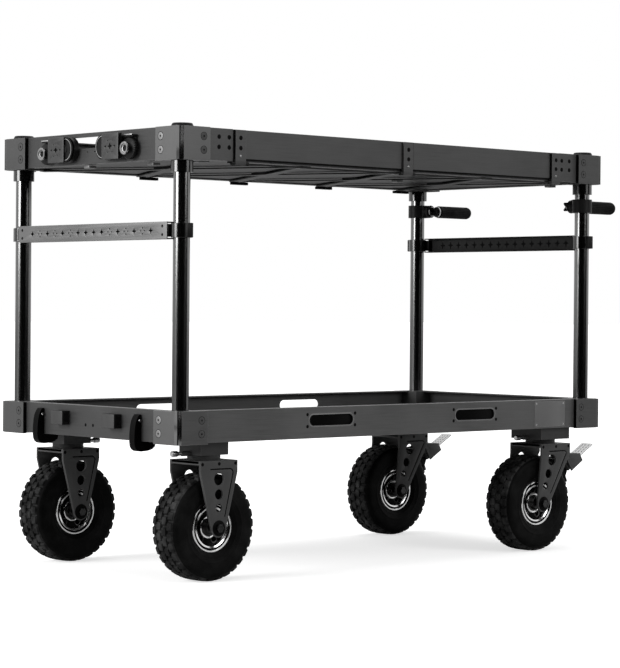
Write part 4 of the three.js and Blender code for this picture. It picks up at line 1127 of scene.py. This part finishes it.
def make_tyres():
    """Block-tread tyres: four staggered rows of blocks on a flat crown, with plain side walls. The block rows
    get a lighter copy of the rubber: painted light.
    """
    for end, side in CORNERS:
        name = f"tyre_{end}_{side}"
        low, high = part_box(name)
        place = facing(ALONG_Y, (low + high) / 2)
        crown = (high.z - low.z) / 2 - LUG_RISE
        profile = tyre_profile((high.y - low.y) / 2, crown)
        steps = LUGS * LUG_STEPS
        shape = bmesh.new()
        rings = []
        for across, radius, row in profile:
            ring = []
            for step in range(steps):
                phase = (step / LUG_STEPS + (0.5 if row in (1, 3) else 0.0)) % 1
                raised = row is not None and phase < LUG_SHARE
                wide = radius + (LUG_RISE if raised else 0)
                angle = FULL_TURN * step / steps
                point = Vector((wide * math.cos(angle), wide * math.sin(angle), across))
                ring.append(shape.verts.new(place @ point))
            rings.append(ring)
        rows = [row for across, radius, row in profile]
        for index, (first, second) in enumerate(zip(rings, rings[1:] + rings[:1])):
            on_block = rows[index] is not None or rows[(index + 1) % len(rows)] is not None
            for step in range(steps):
                after = (step + 1) % steps
                face = shape.faces.new((first[step], first[after], second[after], second[step]))
                # Painted light: the block rows take the lighter rubber, the grooves and walls the darker.
                face.material_index = 1 if on_block else 0
        made = piece(f"tread_{end}_{side}", shape, tread, f"wheel_{end}_{side}")
        made.data.materials.append(lug_rubber_painted_lighter)
        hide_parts(name)


RIM_SHARES = [
    (0.9496, 0.8529), (1, 0.8824), (1, 0.9706), (0.9832, 1), (0.9328, 1), (0.916, 0.9706),
    (0.9126, 0.8824), (0.842, 0.8824), (0.8387, 0.9529), (0.8218, 0.9765), (0.7613, 0.9353),
    (0.7378, 0.8529), (0.7378, 0), (0.7983, 0), (0.7983, 0.7353),
]
RIM_GROOVE_SHADE_SHARES = [
    (0.9143, 0.8765), (0.8403, 0.8765), (0.8403, 0.9588), (0.9143, 0.9588),
]
WINDOWS = 5
WINDOW_RADIUS, WINDOW_REACH, WINDOW_TURN_SHARE = 7.5 * MM, 35 * MM, 0.3
DISH_EDGE, DISH_BORE = 15 * MM, 13 * MM
DISH_HEIGHT, DISH_THICK, DISH_ROUND = 15 * MM, 4 * MM, 0.8 * MM
LIP_WALL, LIP_HALF = 1.6 * MM, 2.4 * MM
FLARE_RADIUS, FLARE_HALF = 22 * MM, 43 * MM
FLARE_SHARES = [
    (0, 0), (0.6364, 0), (0.6364, 0.3488), (1, 0.3907), (1, 0.4419), (0.8182, 0.5349), (0.7273, 0.6977),
    (0.6364, 0.7674), (0.4091, 0.814), (0.4091, 0.9767), (0.3636, 1), (0, 1),
]
HUB_BEAD, HUB_BEAD_PLACE = 3.4 * MM, (24 * MM, 20 * MM)


def rim_dish(corner, body, centre, flange):
    """The dark dish on both sides, with its round windows and their lips."""
    places = []
    for index in range(WINDOWS):
        angle = FULL_TURN * (index + WINDOW_TURN_SHARE) / WINDOWS
        places.append((WINDOW_REACH * math.cos(angle), WINDOW_REACH * math.sin(angle)))
    outlines = [circle(flange - DISH_EDGE, steps=64), circle(DISH_BORE, steps=32)]
    outlines += [circle(WINDOW_RADIUS, place) for place in places]
    outer = WINDOW_RADIUS + LIP_WALL
    lip = [(WINDOW_RADIUS, -LIP_HALF), (outer, -LIP_HALF), (outer, LIP_HALF), (WINDOW_RADIUS, LIP_HALF)]
    dish = bmesh.new()
    lips = bmesh.new()
    for way in WAYS:
        at = facing(ALONG_Y, centre + Vector((0, way * DISH_HEIGHT, 0)))
        plate(dish, outlines, DISH_THICK, DISH_ROUND, at)
        for across, up in places:
            turned(lips, lip, moved(at, 0, across, up), 24)
    piece(f"rim_dish_{corner}", dish, dark, body)
    piece(f"rim_lips_{corner}", lips, axle_metal, body)


def make_rims():
    """Plated rims: double bright rings with painted shade in the groove between them, a dark dish with round
    windows, and a turned hub with a bead.
    """
    bead = circle(HUB_BEAD, HUB_BEAD_PLACE, 12)
    for end, side in CORNERS:
        corner, name, body = f"{end}_{side}", f"rim_{end}_{side}", f"wheel_{end}_{side}"
        low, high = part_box(name)
        centre = (low + high) / 2
        place = facing(ALONG_Y, centre)
        flange = (high.z - low.z) / 2
        shape = bmesh.new()
        hub = bmesh.new()
        groove = gather(f"rim_grooves_{corner}", dark, body)
        ring = gather(f"hub_rings_{corner}", chrome, body, "rim_chrome")
        for way in WAYS:
            turned(shape, scaled(RIM_SHARES, flange, way * RIM_HALF), place, 96)
            # Painted shade: a dark ring in the groove between the bright rings.
            turned(groove, scaled(RIM_GROOVE_SHADE_SHARES, flange, way * RIM_HALF), place, 96)
            turned(hub, scaled(FLARE_SHARES, FLARE_RADIUS, way * FLARE_HALF), place, 64)
            turned(ring, [(radius, way * height) for radius, height in bead], place, 64)
        made = piece(f"rim_rings_{corner}", shape, chrome, body)
        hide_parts(name)
        rim_dish(corner, body, centre, flange)
        piece(f"rim_hub_{corner}", hub, axle_metal, body)


# Casters

FORK_WALL, FORK_SKIN = 6 * MM, 1 * MM
FORK_HALF = 57 * MM
FORK_OUTER = 58.5 * MM
FORK_INSIDE = 2 * (FORK_OUTER - FORK_WALL)
FORK_RISE = 160 * MM
REAR_TRAIL = 48 * MM
SHOULDER = 28 * MM
FOOT = 22 * MM
FORK_HOLES = [(0.27, 15.5 * MM), (0.5, 12.5 * MM), (0.7, 10 * MM)]
HOLE_LEAN = 1.2


def fork_place(end, side):
    """The fork's place on its swivel axis at the axle's height, and how far the wheel trails it."""
    trail = REAR_TRAIL if end == "rear" else 0
    return middle(f"rim_{end}_{side}") + Vector((trail, 0, 0)), trail


def leg_outline(trail, inset=0):
    """A fork leg's side view, from its top corner round its foot, drawn in by inset."""
    shoulder = FORK_RISE - SHOULDER
    edge, top = FORK_HALF - inset, FORK_RISE - inset
    rear = math.atan2(FORK_HALF + trail - FOOT, shoulder)
    front = math.atan2(FORK_HALF - trail - FOOT, shoulder)
    foot = arc(FOOT - inset, math.pi + front, FULL_TURN - rear, 16, (-trail, 0))
    return [(edge, top), (-edge, top), (-edge, shoulder), *foot, (edge, shoulder)]


def band(points, width):
    """The outline of a line of even width along some points."""
    left, right = [], []
    for index, point in enumerate(points):
        before = points[max(index - 1, 0)]
        after = points[min(index + 1, len(points) - 1)]
        way = Vector((after[0] - before[0], after[1] - before[1])).normalized() * width / 2
        left.append((point[0] - way.y, point[1] + way.x))
        right.append((point[0] + way.y, point[1] - way.x))
    return left + right[::-1]


GROOVE_WIDE, GROOVE_SHADE_WIDE = 3.6 * MM, 4.6 * MM
GROOVE_INSET, GROOVE_DROP, GROOVE_START = 14 * MM, 20 * MM, 27 * MM
GROOVE_BEND, GROOVE_BEND_SHARE = 10 * MM, 1.1
GROOVE_LOW, GROOVE_OUT = 26 * MM, 3 * MM
FACE_INSET, FACE_EDGE = 0.6 * MM, 0.3 * MM
FORK_SCREWS = (-51 * MM, 0, 50 * MM)
FORK_SCREW, FORK_SCREW_RISE, FORK_SCREW_DROP = 4.2 * MM, 0.7 * MM, 7.5 * MM
FOOT_DISC, FOOT_DISC_RISE = 19 * MM, 2 * MM
FOOT_DISC_SHARES = [
    (0, 0), (1, 0), (1, 0.5), (0.8947, 1), (0, 1),
]
WASHER, WASHER_RISE = 12.5 * MM, 3.2 * MM
WASHER_SHARES = [
    (0, 0.4688), (1, 0.4688), (1, 0.9375), (0.928, 1), (0, 1),
]
NUT, NUT_RISE = 9 * MM, 7.8 * MM
NUT_SHARES = [
    (0, 0.3846), (1, 0.3846), (1, 0.8974), (0.8889, 1), (0, 1),
]
TOP_PLATE, TOP_EDGE, TOP_CORNER = 7 * MM, 0.6 * MM, 2 * MM
LIP_THICK, LIP_EDGE, FRONT_LIP = 3 * MM, 0.8 * MM, 10 * MM
REAR_LIP, REAR_LIP_DROP = 36 * MM, 19 * MM
KINGPIN, KINGPIN_RISE = 20 * MM, 35 * MM
KINGPIN_SHARES = [
    (0, -0.2286), (0.6, -0.2286), (0.6, -0.0286), (1, -0.0286), (1, 1), (0, 1),
]
AXLE = 6 * MM


def groove_line(trail):
    """The groove beside a leg's rear edge, from its top round a corner down to the foot."""
    top = FORK_RISE - GROOVE_DROP
    edge = FORK_HALF - GROOVE_INSET
    slope = math.atan2(FORK_HALF + trail - FOOT, FORK_RISE - SHOULDER)
    last = math.pi / 2 - (math.pi / 2 - slope) * GROOVE_BEND_SHARE
    bend = arc(GROOVE_BEND, math.pi / 2, last, 4, (edge - GROOVE_BEND, top - GROOVE_BEND))
    low = edge - (FORK_RISE - SHOULDER - GROOVE_LOW) * math.tan(slope) + GROOVE_OUT
    return [(-GROOVE_START, top), *bend, (low, GROOVE_LOW)]


def fork_leg(base, face, black, metal, at, way, trail):
    """One leg: a drilled plate, its raised face with a groove whose floor is painted dark as shade, three
    screws, and the axle's nut.
    """
    turn = facing((0, way, 0), at)
    line = groove_line(trail)
    lean = -trail * HOLE_LEAN
    holes = [circle(radius, (lean * drop, FORK_RISE * (1 - drop)), 40) for drop, radius in FORK_HOLES]

    def drawn(*outlines):
        return [[(-way * across, up) for across, up in outline] for outline in outlines]

    wall = FORK_WALL - FORK_SKIN
    middle_of_wall = moved(turn, FORK_OUTER - FORK_SKIN - wall / 2)
    plate(base, drawn(leg_outline(trail), *holes), wall, SKIN, middle_of_wall)
    groove_shade_at = moved(turn, FORK_OUTER - FORK_SKIN)
    # Painted shade: a dark band on the groove's floor.
    plate(black, drawn(band(line, GROOVE_SHADE_WIDE)), SKIN, SKIN_EDGE / 2, groove_shade_at)
    outlines = drawn(leg_outline(trail, FACE_INSET), *holes, band(line, GROOVE_WIDE))
    plate(face, outlines, FORK_SKIN, FACE_EDGE, moved(turn, FORK_OUTER - FORK_SKIN / 2))
    for across in FORK_SCREWS:
        place = moved(turn, FORK_OUTER, -way * across, FORK_RISE - FORK_SCREW_DROP)
        dot(black, place, FORK_SCREW, FORK_SCREW_RISE)
    foot = moved(turn, FORK_OUTER, way * trail)
    turned(black, scaled(FOOT_DISC_SHARES, FOOT_DISC, FOOT_DISC_RISE), foot, 40)
    turned(black, scaled(WASHER_SHARES, WASHER, WASHER_RISE), foot, 32)
    turned(metal, scaled(NUT_SHARES, NUT, NUT_RISE), foot, 24, hexagonal)


def fork_head(base, end, at):
    """The fork's top plate with its front lip, the kingpin, and a rear lip or the brake's ears."""
    place = Matrix.Translation(at + Vector((0, 0, FORK_RISE - TOP_PLATE / 2)))
    plate(base, [rounded(2 * FORK_HALF, FORK_INSIDE, TOP_CORNER)], TOP_PLATE, TOP_EDGE, place)
    edge = FORK_HALF - LIP_THICK / 2
    place = facing(FRONT, at + Vector((-edge, 0, FORK_RISE - FRONT_LIP / 2)))
    plate(base, [rounded(FORK_INSIDE, FRONT_LIP, LIP_THICK / 2)], LIP_THICK, LIP_EDGE, place)
    turned(base, scaled(KINGPIN_SHARES, KINGPIN, KINGPIN_RISE, FORK_RISE), Matrix.Translation(at), 48)
    if end == "rear":
        add_brake_ears(base, at)
    else:
        place = facing((1, 0, 0), at + Vector((edge, 0, FORK_RISE - REAR_LIP_DROP)))
        plate(base, [rounded(FORK_INSIDE, REAR_LIP, TOP_CORNER)], LIP_THICK, LIP_EDGE, place)


def make_forks():
    """Forks of two drilled legs with a raised face, joined by a top plate, with the axle and its nuts."""
    for end, side in CORNERS:
        at, trail = fork_place(end, side)
        body = f"fork_{end}_{side}"
        base = bmesh.new()
        face = bmesh.new()
        black = bmesh.new()
        metal = bmesh.new()
        for way in WAYS:
            fork_leg(base, face, black, metal, at, way, trail)
        fork_head(base, end, at)
        rod(metal, facing(ALONG_Y, at - Vector((trail, 0, 0))), AXLE, FORK_OUTER)
        made = piece(f"fork_legs_{end}_{side}", base, fork_coat, body)
        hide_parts(f"caster_fork_{end}_{side}")
        piece(f"fork_faces_{end}_{side}", face, fork_coat, body)
        piece(f"fork_screws_{end}_{side}", black, dark, body)
        piece(f"axle_nuts_{end}_{side}", metal, axle_metal, body)


# Brakes and swivel locks

BRAKE_PIVOT = (-88 * MM, 112 * MM)
BRIDGE_FAR = FORK_HALF - 13 * MM
BRIDGE_NEAR = BRIDGE_FAR - 11 * MM
BRIDGE_HIGH = FORK_RISE - SHOULDER - 17 * MM
BRIDGE_LOW = BRIDGE_HIGH - 10 * MM
BRIDGE_EDGE = 0.5 * MM
EAR_RADIUS, EAR_THICK, EAR_ACROSS = 10 * MM, 5 * MM, 21.8 * MM
BRAKE_PIN, BRAKE_PIN_HALF = 4 * MM, 29.7 * MM


def add_brake_ears(shape, at):
    """A bridge between the fork's legs, two ears and the brake's pin."""
    across = facing(ALONG_Y, at)
    near, far = -BRIDGE_NEAR, -BRIDGE_FAR
    outline = [(near, BRIDGE_LOW), (near, BRIDGE_HIGH), (far, BRIDGE_HIGH), (far, BRIDGE_LOW)]
    plate(shape, [outline], FORK_INSIDE, BRIDGE_EDGE, across)
    ear = [(near, BRIDGE_HIGH), (near, BRIDGE_LOW)]
    ear += arc(EAR_RADIUS, math.pi * 1.5, math.pi / 2, 12, BRAKE_PIVOT)
    for way in WAYS:
        plate(shape, [ear], EAR_THICK, SKIN, moved(across, way * EAR_ACROSS))
    rod(shape, moved(across, 0, *BRAKE_PIVOT), BRAKE_PIN, BRAKE_PIN_HALF)


LOCK_KNOB = 24 * MM
LOCK_SHARES = [
    (0, 0), (0.7143, 0), (0.9429, 0.0417), (1, 0.1042), (1, 0.6667), (0.8857, 0.7292), (0.7143, 0.75),
    (0.7143, 1), (0.5, 1),
]
LOCK_PIN, LOCK_TIP = 3.5 * MM, 2 * MM
LOCK_CLEARANCE = 8 * MM


def lock_knurl(index, angle):
    """How far the lock knob's knurled edge reaches at an angle."""
    return 1 - 0.035 * (math.sin(angle * 18) > 0) if index in (3, 4) else 1


def make_locks():
    """Spring locks: a turned knurled knob on a pin."""
    for end, side in CORNERS:
        name = f"swivel_lock_{end}_{side}"
        low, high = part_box(name)
        centre = (low + high) / 2
        way = SIDES[side]
        place = facing((-way, 0, 0), (low.x if way < 0 else high.x, centre.y, centre.z))
        length = high.x - low.x - LOCK_CLEARANCE
        profile = scaled(LOCK_SHARES, (high.z - low.z) / 2, LOCK_KNOB)
        profile += [(LOCK_PIN, length - LOCK_TIP), (LOCK_TIP, length), (0, length)]
        shape = bmesh.new()
        turned(shape, profile, place, 72, lock_knurl)
        made = piece(f"lock_knob_{end}_{side}", shape, steel, f"lock_{end}_{side}")
        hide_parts(name)


BLOCK_REACH, BLOCK_TOP = 141.6 * MM, 128 * MM
BLOCK_SHARES = [
    (0.685, 0.6328), (1, 0.8422), (0.9145, 1), (0.4859, 1),
]
BLOCK_REAR_SHARES = [
    (0.7345, 0.6719), (0.9958, 0.8469), (0.9153, 0.9953), (0.7133, 0.9953),
]
SHOE_NECK_SHARES = [
    (0.5508, 0.7031), (0.5508, 0.5625), (0.6356, 0.4844), (0.6992, 0.6562),
]
BLOCK_BORE, BLOCK_EDGE = 4.6 * MM, 1 * MM
CHEEK_THICK, CHEEK_ACROSS, CORE_WIDE = 4.4 * MM, 27.7 * MM, 37 * MM
REAR_WIDE, REAR_EDGE = 52 * MM, 0.6 * MM
PEDAL_SLOPE, PEDAL_START = (65, 0, 37), Vector((124 * MM, 0, 111 * MM))
PEDAL_LONG, PEDAL_WIDE, PEDAL_CORNER = 80 * MM, 40 * MM, 3 * MM
PEDAL_THICK, PEDAL_EDGE = 3.4 * MM, 0.5 * MM
PEDAL_HOLE, PEDAL_COLUMN, PEDAL_ROW = 2.4 * MM, 10.5 * MM, 11 * MM
SHOE_INNER, SHOE_OUTER, SHOE_WIDE = 137 * MM, 148 * MM, 38 * MM
SHOE_FIRST, SHOE_LAST = math.pi - math.radians(20.5), math.pi - math.radians(35.5)
NECK_WIDE, NECK_EDGE = 24 * MM, 0.8 * MM
BRAKE_BOLT, BRAKE_BOLT_RISE = 5 * MM, 1.6 * MM
BRAKE_BOLT_PLACE = (124 * MM, 26 * MM, 112 * MM)


def brake_block(side, body, across):
    """The cast block: two cheeks and a core on the pin, with a wide rear end."""
    cast = bmesh.new()
    shell = [scaled(BLOCK_SHARES, -BLOCK_REACH, BLOCK_TOP), circle(BLOCK_BORE, BRAKE_PIVOT)]
    for way in WAYS:
        plate(cast, shell, CHEEK_THICK, BLOCK_EDGE, moved(across, way * CHEEK_ACROSS))
    plate(cast, shell, CORE_WIDE, BLOCK_EDGE, across)
    plate(cast, [scaled(BLOCK_REAR_SHARES, -BLOCK_REACH, BLOCK_TOP)], REAR_WIDE, REAR_EDGE, across)
    made = piece(f"brake_block_{side}", cast, fork_coat, body)
    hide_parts(f"brake_pedal_{side}")


def pedal_plate(side, body, at):
    """The bright foot plate with three rows of five holes."""
    along = Vector(PEDAL_SLOPE).normalized()
    rising = Vector((-along.z, 0, along.x))
    turn = Matrix((along, rising.cross(along), rising)).transposed().to_4x4()
    pad = [rounded(PEDAL_LONG, PEDAL_WIDE, PEDAL_CORNER)]
    for row in (-1, 0, 1):
        for column in range(5):
            pad.append(circle(PEDAL_HOLE, ((column - 1.2) * PEDAL_COLUMN, row * PEDAL_ROW), 16))
    shape = bmesh.new()
    place = Matrix.Translation(at + PEDAL_START + along * PEDAL_LONG / 2) @ turn
    plate(shape, pad, PEDAL_THICK, PEDAL_EDGE, place)
    piece(f"pedal_plate_{side}", shape, steel, body)


def brake_shoe(side, body, across, wheel):
    """A black shoe over the tyre, and its neck up to the block."""
    sweep = arc(SHOE_INNER, SHOE_FIRST, SHOE_LAST, 8) + arc(SHOE_OUTER, SHOE_LAST, SHOE_FIRST, 8)
    shoe = bmesh.new()
    plate(shoe, [sweep], SHOE_WIDE, BLOCK_EDGE, facing(ALONG_Y, wheel))
    plate(shoe, [scaled(SHOE_NECK_SHARES, -BLOCK_REACH, BLOCK_TOP)], NECK_WIDE, NECK_EDGE, across)
    piece(f"brake_shoe_{side}", shoe, dark, body)


def make_pedals():
    """Brake pedals: a cast block, a bright foot plate, a black shoe over the tyre, and bolts."""
    x, y, z = BRAKE_BOLT_PLACE
    for side in SIDES:
        at, trail = fork_place("rear", side)
        body = f"brake_{side}"
        across = facing(ALONG_Y, at)
        brake_block(side, body, across)
        pedal_plate(side, body, at)
        brake_shoe(side, body, across, at - Vector((trail, 0, 0)))
        bolt = gather(f"brake_bolts_{side}", steel, body, "bright_steel")
        for way in WAYS:
            dot(bolt, facing((0, way, 0), at + Vector((x, way * y, z))), BRAKE_BOLT, BRAKE_BOLT_RISE)


# Light, floor and background

CAMERA_SIDE = math.atan2(EYE.y, EYE.x)
WHITE = (1, 1, 1, 1)
SOFT_LIGHT = 0.4
FLOOR_REACH = 60
FLOOR_COLOUR = (0.8, 0.8, 0.8, 1)
WHITE_FROM, WHITE_AT = 1.2, 5.0
NEAR_GLOW = 0.62
SCREEN_COLOUR = (0.003, 0.003, 0.003, 1)
SCREEN_FIRST, SCREEN_LAST = CAMERA_SIDE - math.radians(57), CAMERA_SIDE + math.radians(88)
SCREEN_STEPS = 24
SCREEN_SECTION = ((1.3, 4 * MM), (7.5, 4 * MM), (7.5, 5.0))
HEART = Vector((0, 0, 0.6))
LAMPS = (
    ("lamp_front", (-5.5, 1.0, 2.2), 2.6, 230),
    ("lamp_side", (1.5, -5.5, 2.6), 2.6, 90),
    ("lamp_top", (0.3, 0.5, 4.5), 3.5, 90),
)


def make_world():
    """White for rays from the camera, off gloss or through glass, and a soft even light for others."""
    world = bpy.data.worlds.new("studio")
    world.use_nodes = True
    tree = world.node_tree
    tree.nodes.clear()
    rays = wired(tree, "ShaderNodeLightPath").outputs
    inputs = {0: rays["Is Camera Ray"], 1: rays["Is Glossy Ray"]}
    first = wired(tree, "ShaderNodeMath", inputs, operation="MAXIMUM")
    inputs = {0: first.outputs[0], 1: rays["Is Transmission Ray"]}
    shown = wired(tree, "ShaderNodeMath", inputs, operation="MAXIMUM")
    light = wired(tree, "ShaderNodeBackground", {"Color": WHITE, "Strength": SOFT_LIGHT})
    white = wired(tree, "ShaderNodeBackground", {"Color": WHITE, "Strength": 1.0})
    inputs = {"Fac": shown.outputs[0], 1: light.outputs[0], 2: white.outputs[0]}
    mix = wired(tree, "ShaderNodeMixShader", inputs)
    wired(tree, "ShaderNodeOutputWorld", {"Surface": mix.outputs[0]})
    scene.world = world


def floor_material():
    """A pale matt floor that glows white to the camera away from the cart."""
    material = bpy.data.materials.new("floor")
    material.use_nodes = True
    tree = material.node_tree
    tree.nodes.clear()
    matt = wired(tree, "ShaderNodeBsdfDiffuse", {"Color": FLOOR_COLOUR})
    place = wired(tree, "ShaderNodeTexCoord").outputs["Object"]
    distance = wired(tree, "ShaderNodeVectorMath", {0: place}, operation="LENGTH").outputs["Value"]
    inputs = {
        "Value": distance, "From Min": WHITE_FROM, "From Max": WHITE_AT, "To Min": NEAR_GLOW, "To Max": 1.0,
    }
    rise = wired(tree, "ShaderNodeMapRange", inputs).outputs["Result"]
    seen = wired(tree, "ShaderNodeLightPath").outputs["Is Camera Ray"]
    lift = wired(tree, "ShaderNodeMath", {0: seen, 1: rise}, operation="MULTIPLY")
    glow = wired(tree, "ShaderNodeEmission", {"Strength": lift.outputs[0]})
    both = wired(tree, "ShaderNodeAddShader", {0: matt.outputs[0], 1: glow.outputs[0]})
    wired(tree, "ShaderNodeOutputMaterial", {"Surface": both.outputs[0]})
    return material


def make_floor():
    """A wide pale floor that keeps the cart's shadow, and turns white away from it."""
    mesh = bpy.data.meshes.new("floor")
    ways = ((-1, -1), (1, -1), (1, 1), (-1, 1))
    corners = [(across * FLOOR_REACH, along * FLOOR_REACH, 0) for across, along in ways]
    mesh.from_pydata(corners, [], [(0, 1, 2, 3)])
    floor = bpy.data.objects.new("floor", mesh)
    scene.collection.objects.link(floor)
    mesh.materials.append(floor_material())


def make_screen():
    """A dark curved screen behind the camera, with a dark foot. Only glossy surfaces see it."""
    verts, faces = [], []
    for step in range(SCREEN_STEPS + 1):
        angle = SCREEN_FIRST + (SCREEN_LAST - SCREEN_FIRST) * step / SCREEN_STEPS
        for distance, height in SCREEN_SECTION:
            verts.append((distance * math.cos(angle), distance * math.sin(angle), height))
        if step:
            before, after = 3 * step - 3, 3 * step
            faces.append((before, after, after + 1, before + 1))
            faces.append((before + 1, after + 1, after + 2, before + 2))
    mesh = bpy.data.meshes.new("screen")
    mesh.from_pydata(verts, [], faces)
    material = bpy.data.materials.new("screen")
    material.use_nodes = True
    shader = material.node_tree.nodes["Principled BSDF"]
    shader.inputs["Base Color"].default_value = SCREEN_COLOUR
    shader.inputs["Specular IOR Level"].default_value = 0.0
    shader.inputs["Roughness"].default_value = 1.0
    mesh.materials.append(material)
    screen = bpy.data.objects.new("screen", mesh)
    scene.collection.objects.link(screen)
    screen.visible_camera = False
    screen.visible_diffuse = False
    screen.visible_shadow = False
    screen.visible_transmission = False


def make_lamps():
    """Square soft boxes: a key from the front, a weaker one from the left side, and one above."""
    for name, at, size, power in LAMPS:
        data = bpy.data.lights.new(name, "AREA")
        data.shape = "SQUARE"
        data.size = size
        data.energy = power
        lamp = bpy.data.objects.new(name, data)
        lamp.location = at
        lamp.rotation_mode = "QUATERNION"
        lamp.rotation_quaternion = (HEART - Vector(at)).to_track_quat("-Z", "Y")
        scene.collection.objects.link(lamp)


make_camera()
make_world()
make_floor()
make_screen()
make_lamps()
dress_nodes()
make_posts()
dress_brackets()
dress_ledge()
dress_accessories()
make_clamp_knobs()
dress_cross_bars()
make_handles()
dress_lower_rails()
dress_underside()
make_tyres()
make_rims()
make_forks()
make_locks()
make_pedals()
for name, (shape, material, body, slot) in gathered.items():
    piece(name, shape, material, body)

scene.view_settings.view_transform = "Standard"
